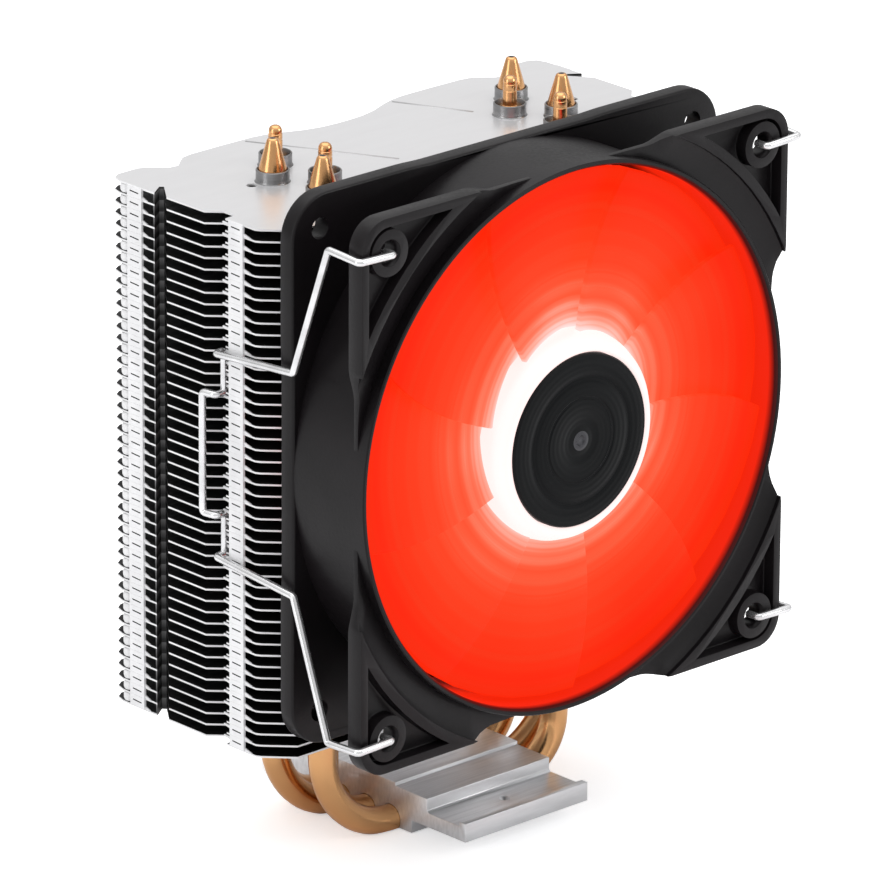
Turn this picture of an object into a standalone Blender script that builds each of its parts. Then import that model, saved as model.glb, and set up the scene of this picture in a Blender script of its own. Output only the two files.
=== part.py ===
"""CPU tower cooler: finned heat sink on four heat pipes, with a lit 120 mm fan held by two wire clips.

Frame: metres, +Z up, origin at the middle of the base's contact face. X runs along the fan's
width, and the fan draws air in from -Y and blows it through the fins towards +Y.
"""

import math

import bmesh
import bpy
from mathutils import Vector

MM = 0.001

# ---- Driving dimensions -------------------------------------------------------------------
GAP = 0.3 * MM                 # clearance kept between neighbouring pieces

FIN_COUNT = 47
FIN_WIDTH = 120.8 * MM
FIN_DEPTH = 52.0 * MM
FIN_THICKNESS = 0.4 * MM
FIN_PITCH = 2.5 * MM
STACK_BOTTOM_Z = 28.5 * MM
FIN_CENTRE_Y = 2.75 * MM       # the fins reach further back than forward of the pipes

PIPE_DIAMETER = 6.0 * MM
PIPE_PITCH = PIPE_DIAMETER + 1.7 * MM
PIPE_AXIS_Z = 1.7 * MM         # low enough that the pipes are milled flat with the base
PIPE_OUTER_LEG_X = 37.2 * MM
PIPE_INNER_LEG_X = PIPE_OUTER_LEG_X - PIPE_DIAMETER - 1.6 * MM
PIPE_STUB_RISE = 8.6 * MM      # swaged end above the top fin
PIPE_CONE_RISE = 9.3 * MM      # pinched end above the top fin
PIPE_SWAGE_RATIO = 0.5         # swaged end's diameter as a share of the pipe's
PIPE_NOSE_RATIO = 0.42         # pinched end's diameter as a share of the pipe's

BASE_WIDTH = 35.4 * MM
BASE_PAD_DEPTH = 36.1 * MM
BASE_BLOCK_DEPTH = 45.7 * MM
BASE_WING_LENGTH = 11.9 * MM
BASE_TOP_DEPTH = 25.9 * MM
BASE_HEIGHT = 10.1 * MM
BASE_SHOULDER_Z = 9.3 * MM
BASE_WING_TOP_Z = 6.2 * MM
BASE_WING_THICKNESS = 3.3 * MM
BASE_LIP_HEIGHT = 1.0 * MM
BASE_LIP_WIDTH = 1.9 * MM
BASE_DRAFT = 0.02 * MM         # the extruded wings and shoulders slope by this much
BASE_DIMPLE_DIAMETER = 2.4 * MM
BASE_DIMPLE_DEPTH = 0.8 * MM
BASE_DIMPLE_PLACE = 5.0 * MM   # from the block's face

FAN_SIZE = 120.0 * MM
FAN_DEPTH = 25.0 * MM
FAN_HOLE_SPACING = 105.0 * MM
FAN_HOLE_DIAMETER = 4.6 * MM
FAN_FLANGE = 4.0 * MM
FAN_BORE_RADIUS = 58.0 * MM
FAN_WALL = 1.4 * MM
FAN_CORNER_RADIUS = 6.5 * MM
FAN_BACK_CORNER_RADIUS = 9.5 * MM
FAN_SIDE_CUT = 1.5 * MM        # how far the flanges step in at mid-side
FAN_SIDE_CUT_HALF = 28.5 * MM
FAN_MOAT_RADIUS = 65.8 * MM    # edge of the corner plates around the inlet rim
FAN_MOAT_DEPTH = 2.5 * MM
FAN_TO_FINS = 0.5 * MM
FAN_RISE = 64.0 * MM           # fan centre above the bottom fin

STRUT_WIDTH = 4.0 * MM
STRUT_DEPTH = 3.0 * MM
CABLE_STRUT_WIDTH = 7.0 * MM
CABLE_NOTCH_WIDTH = 2.6 * MM   # where the fan's lead leaves the back flange
CABLE_NOTCH_DEPTH = 1.6 * MM
CABLE_NOTCH_OFFSET_DEG = 12.0
MOUNT_THICKNESS = 2.2 * MM
BEARING_TUBE_RADIUS = 4.5 * MM
BEARING_RADIUS = 3.0 * MM
SHAFT_RADIUS = 1.5 * MM
SHAFT_RUNNING_GAP = 0.1 * MM

HUB_RADIUS = 19.5 * MM
MOUNT_RADIUS = HUB_RADIUS + 3.5 * MM   # seat behind the motor
HUB_WALL = 1.6 * MM
HUB_FRONT = 2.7 * MM           # the cup's front plate, behind the frame's front face
HUB_REAR = 19.3 * MM
CAP_RADIUS = HUB_RADIUS - 0.8 * MM
CAP_FRONT = 0.2 * MM
YOKE_WALL = 1.0 * MM
MAGNET_WALL = 2.0 * MM
BLADE_COUNT = 9
BLADE_TIP_GAP = 1.2 * MM
BLADE_THICKNESS = 1.6 * MM
BLADE_FRONT = 3.6 * MM
BLADE_REAR = 19.4 * MM

STATOR_GAP = 0.7 * MM
STATOR_LENGTH = 9.0 * MM
POLE_NECK = 4.0 * MM
POLE_TIP_DEPTH = 2.2 * MM
BOARD_THICKNESS = 1.4 * MM
BOARD_RADIUS = HUB_RADIUS - 2.5 * MM
LED_SIZE = 1.6 * MM

WIRE_RADIUS = 0.8 * MM
WIRE_BEND = 2 * WIRE_RADIUS
CLIP_FACE_GAP = 0.5 * MM
CLIP_SIDE_GAP = 0.7 * MM       # between the wire and the widest piece beside it
CLIP_HOOK_DEPTH = 1.8 * MM
CLIP_FINGER_HALF = 13.2 * MM   # half height of the finger loop
CLIP_SEAT_LENGTH = 9.0 * MM    # wire lying in the fins' groove above and below the loop
CLIP_FINGER_REACH = 3.4 * MM
CLIP_FINGER_LEAN = 0.6 * MM     # the loop stands off the fins by this much more
CLIP_SEAT_GAP = 0.6 * MM
GROOVE_DEPTH = 3.0 * MM
GROOVE_RUN_OUT = 4.4 * MM      # the groove's back wall slopes out to the fin's side
TAB_WIDTH = 4.0 * MM
TAB_THICKNESS = 0.8 * MM
CORNER_CUT_WIDTH = 5.9 * MM    # the fins' slanted front corners
CORNER_CUT_DEPTH = 6.0 * MM
NOTCH_DEPTH = 4.0 * MM         # slanted notch in each side, behind the groove
NOTCH_START = 20.0 * MM        # its three corners, forward of the back edge
NOTCH_POINT = 13.8 * MM
NOTCH_END = 15.9 * MM
WAVE_DIP = 5.0 * MM            # the top fin's back edge dips between its lobes

CLIP_RISE = 0.8 * MM           # the wire's upright run leans out by this much
CLIP_DIVE_START = 8.0 * MM     # depths behind the fan's face where the wire starts and
CLIP_DIVE_END = 18.6 * MM      # ends its slanted run
CORE_WALL = 2.4 * MM           # stator's middle ring
COIL_WALL = 1.1 * MM
BLADE_SWEEP_DEG = 34.0         # turn of a blade from its front edge to its rear edge
BLADE_LEAN_DEG = 9.0           # how far the tip leads the root
BLADE_HOLLOW = 1.4 * MM        # depth of the blade's curve

# ---- Derived places -----------------------------------------------------------------------
FIN_FRONT_Y = FIN_CENTRE_Y - FIN_DEPTH / 2
FIN_REAR_Y = FIN_CENTRE_Y + FIN_DEPTH / 2
FAN_BACK_Y = FIN_FRONT_Y - FAN_TO_FINS
FAN_FRONT_Y = FAN_BACK_Y - FAN_DEPTH
FAN_CENTRE_Z = STACK_BOTTOM_Z + FAN_RISE
TOP_FIN_Z = STACK_BOTTOM_Z + (FIN_COUNT - 1) * FIN_PITCH
TOP_SURFACE_Z = TOP_FIN_Z + FIN_THICKNESS
GROOVE_Y = FIN_CENTRE_Y - 9.0 * MM
CLIP_SEAT_X = FIN_WIDTH / 2 - 0.3 * GROOVE_DEPTH

YOKE_RADIUS = HUB_RADIUS - HUB_WALL - GAP
MAGNET_RADIUS = YOKE_RADIUS - YOKE_WALL - GAP
STATOR_RADIUS = MAGNET_RADIUS - MAGNET_WALL - STATOR_GAP
MOUNT_FRONT = FAN_DEPTH - MOUNT_THICKNESS
BOARD_FRONT = MOUNT_FRONT - GAP - BOARD_THICKNESS
STATOR_FRONT = 8.6 * MM
YOKE_FRONT = HUB_FRONT + HUB_WALL + GAP
BEARING_FRONT = YOKE_FRONT + YOKE_WALL + 1.6 * MM

PARTS = None
CUTTERS = None


# ---- Helpers ------------------------------------------------------------------------------
def start_collections():
    global PARTS, CUTTERS
    for old in list(bpy.data.objects):
        bpy.data.objects.remove(old)
    PARTS = bpy.data.collections.new("cpu_tower_cooler")
    CUTTERS = bpy.data.collections.new("cutters")
    for group in (PARTS, CUTTERS):
        bpy.context.scene.collection.children.link(group)


def make_material(name, colour, roughness, metallic):
    material = bpy.data.materials.new(name)
    material.use_nodes = True
    shader = material.node_tree.nodes["Principled BSDF"]
    shader.inputs["Base Color"].default_value = (*colour, 1.0)
    shader.inputs["Roughness"].default_value = roughness
    shader.inputs["Metallic"].default_value = metallic
    return material


def keep(obj, material):
    """Puts a finished piece in the object's own collection with its material."""
    for group in list(obj.users_collection):
        group.objects.unlink(obj)
    PARTS.objects.link(obj)
    obj.data.materials.clear()
    obj.data.materials.append(material)
    return obj


def tool(obj):
    """Puts a body that only cuts or joins others in the cutters' collection."""
    for group in list(obj.users_collection):
        group.objects.unlink(obj)
    CUTTERS.objects.link(obj)
    obj.hide_render = True
    obj.display_type = "WIRE"
    return obj


def combine(target, other, operation):
    tool(other)
    modifier = target.modifiers.new(operation.lower() + "_" + other.name, "BOOLEAN")
    modifier.operation = operation
    modifier.object = other


def cut(target, other):
    combine(target, other, "DIFFERENCE")


def join(target, other):
    combine(target, other, "UNION")


def mesh_from_curve(curve_object):
    """Replaces a curve object with a welded mesh object in the same place."""
    bpy.context.view_layer.update()
    evaluated = curve_object.evaluated_get(bpy.context.evaluated_depsgraph_get())
    mesh = bpy.data.meshes.new_from_object(evaluated)
    body = bmesh.new()
    body.from_mesh(mesh)
    bmesh.ops.remove_doubles(body, verts=body.verts, dist=0.001 * MM)
    bmesh.ops.recalc_face_normals(body, faces=body.faces)
    body.to_mesh(mesh)
    body.free()
    obj = bpy.data.objects.new(curve_object.name + "_mesh", mesh)
    obj.matrix_world = curve_object.matrix_world
    name = curve_object.name
    bpy.data.objects.remove(curve_object)
    obj.name = name
    PARTS.objects.link(obj)
    return obj


def plate(name, outline, holes, thickness, centre, upright=False):
    """A flat outline with holes, as thick as asked. Upright plates face along Y."""
    curve = bpy.data.curves.new(name, "CURVE")
    curve.dimensions = "2D"
    curve.fill_mode = "BOTH"
    curve.extrude = thickness / 2
    for loop in [outline] + holes:
        spline = curve.splines.new("POLY")
        spline.points.add(len(loop) - 1)
        for point, (u, v) in zip(spline.points, loop):
            point.co = (u, v, 0.0, 1.0)
        spline.use_cyclic_u = True
    obj = bpy.data.objects.new(name, curve)
    obj.location = centre
    if upright:
        obj.rotation_euler = (math.radians(90.0), 0.0, 0.0)
    PARTS.objects.link(obj)
    return mesh_from_curve(obj)


def ring(radius, sides, centre=(0.0, 0.0), turn=0.46):
    """Corner points of a regular outline; the turn, in sides, keeps rows of holes unaligned."""
    step = 2 * math.pi / sides
    return [(centre[0] + radius * math.cos((i + turn) * step),
             centre[1] + radius * math.sin((i + turn) * step)) for i in range(sides)]


def box(name, low, high):
    bpy.ops.mesh.primitive_cube_add(size=1.0)
    obj = bpy.context.object
    obj.name = name
    obj.location = (Vector(low) + Vector(high)) / 2
    size = Vector(high) - Vector(low)
    for vertex in obj.data.vertices:
        vertex.co = [vertex.co[i] * size[i] for i in range(3)]
    return obj


def drum(name, radius, front, rear, sides):
    """A round bar on the fan's axis, between two depths behind the fan's face."""
    bpy.ops.mesh.primitive_cylinder_add(vertices=sides, radius=radius, depth=rear - front,
                                        rotation=(math.radians(90.0), 0.0, 0.0))
    obj = bpy.context.object
    obj.name = name
    obj.location = (0.0, FAN_FRONT_Y + (front + rear) / 2, FAN_CENTRE_Z)
    return obj


def swing_about_fan(obj, angle):
    """Turns a body modelled along +X from the fan's axis to another direction around it."""
    reach = obj.location.x
    obj.rotation_euler = (0.0, -angle, 0.0)
    obj.location.x = reach * math.cos(angle)
    obj.location.z = FAN_CENTRE_Z + reach * math.sin(angle)


def hollow_drum(name, outer, inner, front, rear, sides):
    depth = FAN_FRONT_Y + (front + rear) / 2
    return plate(name, ring(outer, sides), [ring(inner, sides)], rear - front,
                 (0.0, depth, FAN_CENTRE_Z), upright=True)


def wire(name, points, radius, scales=None):
    """A round wire or pipe through the points; scales narrow it at single points."""
    curve = bpy.data.curves.new(name, "CURVE")
    curve.dimensions = "3D"
    curve.bevel_depth = radius
    curve.bevel_resolution = 2
    curve.use_fill_caps = True
    spline = curve.splines.new("POLY")
    spline.points.add(len(points) - 1)
    for i, co in enumerate(points):
        spline.points[i].co = (*co, 1.0)
        spline.points[i].radius = 1.0 if scales is None else scales[i]
    obj = bpy.data.objects.new(name, curve)
    PARTS.objects.link(obj)
    return mesh_from_curve(obj)


def bent(corners, radius, steps):
    """The corner points of a path with each inner corner replaced by a short arc."""
    path = [Vector(corners[0])]
    for before, corner, after in zip(corners, corners[1:], corners[2:]):
        corner = Vector(corner)
        back = (Vector(before) - corner).normalized()
        forth = (Vector(after) - corner).normalized()
        half = (math.pi - back.angle(forth)) / 2
        reach = radius * math.tan(half)
        middle = corner + (back + forth).normalized() * radius / math.cos(half)
        start = corner + back * reach - middle
        end = corner + forth * reach - middle
        for i in range(steps + 1):
            path.append(middle + start.normalized().slerp(end.normalized(), i / steps) * radius)
    path.append(Vector(corners[-1]))
    return path


# ---- Heat sink ----------------------------------------------------------------------------
def pipe_places():
    """For each pipe from front to back: its y, its pinched leg's x and its swaged leg's x."""
    places = []
    for i in range(4):
        side = -1.0 if i % 2 == 0 else 1.0
        y = (i - 1.5) * PIPE_PITCH
        places.append((y, side * PIPE_OUTER_LEG_X, -side * PIPE_INNER_LEG_X))
    return places


def make_base(material):
    pad = BASE_PAD_DEPTH / 2
    block = BASE_BLOCK_DEPTH / 2
    tip = block + BASE_WING_LENGTH
    wing_under = BASE_WING_TOP_Z - BASE_WING_THICKNESS
    lip = BASE_WING_TOP_Z + BASE_LIP_HEIGHT
    half = [(pad, 0.0), (pad, wing_under), (tip, wing_under + BASE_DRAFT), (tip, lip),
            (tip - BASE_LIP_WIDTH, lip), (tip - BASE_LIP_WIDTH, BASE_WING_TOP_Z),
            (block, BASE_WING_TOP_Z + BASE_DRAFT), (block, BASE_SHOULDER_Z - BASE_DRAFT),
            (BASE_TOP_DEPTH / 2, BASE_SHOULDER_Z), (BASE_TOP_DEPTH / 2, BASE_HEIGHT)]
    outline = half + [(-u, v) for u, v in reversed(half)]
    base = plate("base_block", outline, [], BASE_WIDTH, (0.0, 0.0, 0.0))
    base.rotation_euler = (math.radians(90.0), 0.0, math.radians(90.0))
    reach = BASE_WIDTH / 2 + 2 * MM
    for i, (y, _, _) in enumerate(pipe_places()):
        bpy.ops.mesh.primitive_cylinder_add(vertices=16, radius=PIPE_DIAMETER / 2 + GAP,
                                            depth=2 * reach, location=(0.0, y, PIPE_AXIS_Z),
                                            rotation=(0.0, math.radians(90.0), 0.0))
        groove = bpy.context.object
        groove.name = "pipe_groove_%d" % (i + 1)
        cut(base, groove)
    for side in (-1.0, 1.0):
        bpy.ops.mesh.primitive_cone_add(
            vertices=8, radius1=0.0, radius2=BASE_DIMPLE_DIAMETER, depth=2 * BASE_DIMPLE_DEPTH,
            location=(0.0, side * (block + BASE_DIMPLE_PLACE), BASE_WING_TOP_Z))
        dimple = bpy.context.object
        dimple.name = "wing_dimple_%s" % ("front" if side < 0 else "rear")
        cut(base, dimple)
    return keep(base, material)


def make_pipe(index, y, cone_x, stub_x, material):
    """A U-shaped pipe: pinched end, leg, bend, base run, bend, leg, swaged end."""
    foot = BASE_WIDTH / 2
    cone_top = TOP_SURFACE_Z + PIPE_CONE_RISE
    stub_top = TOP_SURFACE_Z + PIPE_STUB_RISE
    corner_a = (cone_x, y, PIPE_AXIS_Z)
    corner_b = (stub_x, y, PIPE_AXIS_Z)
    bend_a = abs(cone_x) - foot
    bend_b = abs(stub_x) - foot
    path = [Vector((cone_x, y, cone_top)), Vector((cone_x, y, cone_top - 1.0 * MM)),
            Vector((cone_x, y, TOP_SURFACE_Z + 1.2 * MM))]
    scales = [0.6 * PIPE_NOSE_RATIO, PIPE_NOSE_RATIO, 1.0]
    first = bent([path[-1], corner_a, (0.0, y, PIPE_AXIS_Z)], bend_a, 6)[1:-1]
    second = bent([(0.0, y, PIPE_AXIS_Z), corner_b, (stub_x, y, stub_top)], bend_b, 5)[1:-1]
    path += first + second
    scales += [1.0] * (len(first) + len(second))
    for z, scale in ((TOP_SURFACE_Z, 1.0), (TOP_SURFACE_Z + 1.6 * MM, PIPE_SWAGE_RATIO),
                     (stub_top - 1.0 * MM, PIPE_SWAGE_RATIO), (stub_top, 0.5 * PIPE_SWAGE_RATIO)):
        path.append(Vector((stub_x, y, z)))
        scales.append(scale)
    pipe = wire("heat_pipe_%d" % index, path, PIPE_DIAMETER / 2, scales)
    below = PIPE_DIAMETER
    flat = box("milling_%d" % index, (-PIPE_OUTER_LEG_X, y - below, -below),
               (PIPE_OUTER_LEG_X, y + below, 0.0))
    cut(pipe, flat)
    return keep(pipe, material)


def fin_outline(wavy):
    """Right half from the middle of the front edge to the back, then mirrored."""
    side = FIN_WIDTH / 2
    front = GROOVE_Y - WIRE_RADIUS - CLIP_SEAT_GAP
    half = [(side - CORNER_CUT_WIDTH, FIN_FRONT_Y), (side, FIN_FRONT_Y + CORNER_CUT_DEPTH),
            (side, front), (side - GROOVE_DEPTH, front), (side, GROOVE_Y + GROOVE_RUN_OUT)]
    half += [(side, FIN_REAR_Y - NOTCH_START), (side - NOTCH_DEPTH, FIN_REAR_Y - NOTCH_POINT),
             (side, FIN_REAR_Y - NOTCH_END)]
    if wavy:
        lobe = 0.08 * WAVE_DIP
        half += [(side, FIN_REAR_Y - 0.03 * FIN_WIDTH), (0.96 * side, FIN_REAR_Y),
                 (0.85 * side, FIN_REAR_Y), (0.76 * side, FIN_REAR_Y - 0.94 * WAVE_DIP),
                 (0.67 * side, FIN_REAR_Y - lobe), (0.32 * side, FIN_REAR_Y - lobe),
                 (0.09 * side, FIN_REAR_Y - WAVE_DIP)]
    else:
        half.append((side, FIN_REAR_Y))
    return half + [(-x, y) for x, y in reversed(half)]


def pipe_holes(sides):
    """Clearance holes in a fin: few-sided in the hidden fins, round in the top one."""
    radius = (PIPE_DIAMETER / 2 + GAP) / math.cos(math.pi / sides)
    holes = []
    for y, cone_x, stub_x in pipe_places():
        holes.append(ring(radius, sides, (cone_x, y)))
        holes.append(ring(radius, sides, (stub_x, y)))
    return holes


def make_fin_pair(index, material):
    """Two neighbouring fins held together by the folded tabs at their sides."""
    z = STACK_BOTTOM_Z + 2 * (index - 1) * FIN_PITCH + FIN_THICKNESS / 2
    holes = pipe_holes(4)
    lower = plate("fin_pair_%02d" % index, fin_outline(False), holes, FIN_THICKNESS, (0.0, 0.0, z))
    upper = plate("upper_fin_%02d" % index, fin_outline(False), holes, FIN_THICKNESS,
                  (0.0, 0.0, z + FIN_PITCH))
    rear = GROOVE_Y - WIRE_RADIUS - CLIP_SEAT_GAP - 0.6 * MM
    middle = FIN_WIDTH / 2
    for side in (-1.0, 1.0):
        xs = sorted((side * (middle - TAB_THICKNESS / 2), side * (middle + TAB_THICKNESS / 2)))
        tab = box("tab_%02d_%s" % (index, "left" if side < 0 else "right"),
                  (xs[0], rear - TAB_WIDTH, z), (xs[1], rear, z + FIN_PITCH))
        join(lower, tab)
    join(lower, upper)
    return keep(lower, material)


def make_top_fin(material):
    z = TOP_FIN_Z + FIN_THICKNESS / 2
    return keep(plate("top_fin", fin_outline(True), pipe_holes(12), FIN_THICKNESS, (0.0, 0.0, z)),
                material)


# ---- Fan ----------------------------------------------------------------------------------
def flange_outline(corner_radius):
    """Square with rounded corners and a shallow step in the middle of each side."""
    half = FAN_SIZE / 2
    quarter = []
    centre = half - corner_radius
    for i in range(4):
        angle = math.radians(30.0 * i)
        quarter.append((centre + corner_radius * math.cos(angle),
                        centre + corner_radius * math.sin(angle)))
    step = half - FAN_SIDE_CUT
    inner = 0.7 * FAN_SIDE_CUT_HALF
    quarter = [(step, inner), (half, FAN_SIDE_CUT_HALF)] + quarter
    quarter += [(FAN_SIDE_CUT_HALF, half), (inner, step)]
    outline = []
    for turn in range(4):
        c, s = ((1, 0), (0, 1), (-1, 0), (0, -1))[turn]
        outline += [(c * x - s * z, s * x + c * z) for x, z in quarter]
    return outline


def make_frame(material):
    """A round duct between two square flanges, with struts and a motor mount at the back."""
    spread = FAN_HOLE_SPACING / 2
    corners = [(x, z) for x in (-spread, spread) for z in (-spread, spread)]
    holes = [ring(FAN_HOLE_DIAMETER / 2, 12, corner) for corner in corners]
    wall_middle = FAN_BORE_RADIUS + FAN_WALL / 2
    frame = drum("fan_frame", FAN_BORE_RADIUS + FAN_WALL, 0.0, FAN_DEPTH, 40)
    for name, front, radius in (("front_flange", 0.0, FAN_CORNER_RADIUS),
                                ("back_flange", FAN_DEPTH - FAN_FLANGE, FAN_BACK_CORNER_RADIUS)):
        flange = plate(name, flange_outline(radius), holes, FAN_FLANGE,
                       (0.0, FAN_FRONT_Y + front + FAN_FLANGE / 2, FAN_CENTRE_Z), upright=True)
        if front == 0.0:
            cut(flange, drum("rim_moat", FAN_MOAT_RADIUS, -1.0 * MM, FAN_MOAT_DEPTH, 40))
        join(frame, flange)
    cut(frame, drum("duct_bore", FAN_BORE_RADIUS, -1.0 * MM, FAN_DEPTH + 1.0 * MM, 40))
    join(frame, drum("motor_mount", MOUNT_RADIUS, MOUNT_FRONT, FAN_DEPTH, 32))
    inner = MOUNT_RADIUS - 2 * MM
    for i in range(4):
        width = CABLE_STRUT_WIDTH if i == 0 else STRUT_WIDTH
        angle = math.radians(90.0 * i - 45.0)
        strut = box("strut_%d" % (i + 1), (inner, FAN_BACK_Y - STRUT_DEPTH, -width / 2),
                    (wall_middle, FAN_BACK_Y - 0.1 * MM, width / 2))
        swing_about_fan(strut, angle)
        join(frame, strut)
    tube = hollow_drum("bearing_tube", BEARING_TUBE_RADIUS, BEARING_RADIUS + GAP, BEARING_FRONT,
                       MOUNT_FRONT + 0.4 * MM, 16)
    join(frame, tube)
    half = CABLE_NOTCH_WIDTH / 2
    notch = box("cable_notch", (FAN_BORE_RADIUS - 4.0 * MM, FAN_BACK_Y - CABLE_NOTCH_DEPTH, -half),
                (FAN_MOAT_RADIUS + 8.0 * MM, FAN_BACK_Y + 1.0 * MM, half))
    swing_about_fan(notch, math.radians(-45.0 + CABLE_NOTCH_OFFSET_DEG))
    cut(frame, notch)
    return keep(frame, material)


def blade_surface(name, root, tip):
    """A twisted sheet from root to tip; steep at the hub and flatter towards the duct."""
    rows = 5
    columns = 4
    mesh = bpy.data.meshes.new(name)
    body = bmesh.new()
    middle = (BLADE_FRONT + BLADE_REAR) / 2
    grid = []
    for i in range(rows):
        share = i / (rows - 1)
        radius = root + (tip - root) * share
        half_depth = (BLADE_REAR - BLADE_FRONT) / 2 * (1.0 - 0.16 * share)
        sweep = math.radians(BLADE_SWEEP_DEG / 2 * (1.0 + 0.12 * share))
        lean = math.radians(BLADE_LEAN_DEG) * share * share
        line = []
        for j in range(columns):
            along = 2 * j / (columns - 1) - 1
            angle = along * sweep + lean
            depth = middle + half_depth * along - BLADE_HOLLOW * (1 - along * along)
            line.append(body.verts.new((radius * math.sin(angle), depth - middle,
                                        radius * math.cos(angle))))
        grid.append(line)
    for i in range(rows - 1):
        for j in range(columns - 1):
            body.faces.new((grid[i][j], grid[i][j + 1], grid[i + 1][j + 1], grid[i + 1][j]))
    body.to_mesh(mesh)
    body.free()
    obj = bpy.data.objects.new(name, mesh)
    PARTS.objects.link(obj)
    obj.location = (0.0, FAN_FRONT_Y + middle, FAN_CENTRE_Z)
    solidify = obj.modifiers.new("thickness", "SOLIDIFY")
    solidify.thickness = BLADE_THICKNESS
    solidify.offset = 0.0
    return obj


def cup(name, outer, wall, front, plate_thickness, rear, sides, hole=None):
    """A cup open to the back: a plate with a skirt, turned about the fan's axis."""
    inner = outer - wall
    bore = 0.0 if hole is None else hole
    profile = [(bore, front), (outer, front), (outer, rear), (inner, rear),
               (inner, front + plate_thickness), (bore, front + plate_thickness)]
    mesh = bpy.data.meshes.new(name)
    body = bmesh.new()
    verts = [body.verts.new((radius, 0.0, -depth)) for radius, depth in profile]
    for first, second in zip(verts, verts[1:]):
        body.edges.new((first, second))
    if hole is not None:
        body.edges.new((verts[-1], verts[0]))
    body.to_mesh(mesh)
    body.free()
    obj = bpy.data.objects.new(name, mesh)
    PARTS.objects.link(obj)
    obj.location = (0.0, FAN_FRONT_Y, FAN_CENTRE_Z)
    obj.rotation_euler = (math.radians(90.0), 0.0, 0.0)
    screw = obj.modifiers.new("turn", "SCREW")
    screw.steps = sides
    screw.render_steps = sides
    screw.use_merge_vertices = True
    screw.merge_threshold = 0.00001
    screw.use_normal_calculate = True
    screw.use_normal_flip = hole is not None
    return obj


def make_impeller(material):
    impeller = cup("impeller", HUB_RADIUS, HUB_WALL, HUB_FRONT, HUB_WALL, HUB_REAR, 32)
    root = HUB_RADIUS - HUB_WALL / 2
    tip = FAN_BORE_RADIUS - BLADE_TIP_GAP
    for i in range(BLADE_COUNT):
        blade = blade_surface("blade_%d" % (i + 1), root, tip)
        blade.rotation_euler = (0.0, 2 * math.pi * i / BLADE_COUNT, 0.0)
        join(impeller, blade)
    return keep(impeller, material)


def make_rotor(materials):
    cap = drum("hub_cap", CAP_RADIUS, CAP_FRONT, HUB_FRONT - GAP, 40)
    keep(cap, materials["cap"])
    make_impeller(materials["blade"])
    hole = SHAFT_RADIUS + GAP
    yoke = cup("rotor_yoke", YOKE_RADIUS, YOKE_WALL, YOKE_FRONT, YOKE_WALL, HUB_REAR - 1 * MM, 24,
               hole)
    keep(yoke, materials["steel"])
    front = YOKE_FRONT + YOKE_WALL + GAP
    magnet = hollow_drum("magnet_ring", MAGNET_RADIUS, MAGNET_RADIUS - MAGNET_WALL, front + 1 * MM,
                         HUB_REAR - 1.2 * MM, 24)
    keep(magnet, materials["magnet"])
    end = MOUNT_FRONT - GAP
    shaft = drum("rotor_shaft", SHAFT_RADIUS, HUB_FRONT + HUB_WALL + GAP, end, 12)
    keep(shaft, materials["steel"])
    washer = hollow_drum("shaft_retainer", BEARING_RADIUS - GAP, SHAFT_RADIUS + GAP,
                         end - 0.8 * MM, end - 0.2 * MM, 12)
    keep(washer, materials["plastic"])


def pole_outline():
    """Four poles with wide tips around a middle ring, point by point round the core."""
    core = BEARING_TUBE_RADIUS + CORE_WALL
    tip_inner = STATOR_RADIUS - POLE_TIP_DEPTH
    neck = POLE_NECK / 2
    wing = math.radians(33.0)
    quarter = [(math.sqrt(core * core - neck * neck), neck)]
    quarter.append((tip_inner, neck))
    quarter.append((tip_inner * math.cos(wing), tip_inner * math.sin(wing)))
    quarter.append((STATOR_RADIUS * math.cos(wing), STATOR_RADIUS * math.sin(wing)))
    quarter.append((STATOR_RADIUS * math.cos(wing / 3), STATOR_RADIUS * math.sin(wing / 3)))
    outline = []
    for turn in range(4):
        c, s = ((1, 0), (0, 1), (-1, 0), (0, -1))[turn]
        pole = [(x, -z) for x, z in quarter] + [(x, z) for x, z in reversed(quarter)]
        outline += [(c * x - s * z, s * x + c * z) for x, z in pole]
    return outline


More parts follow.
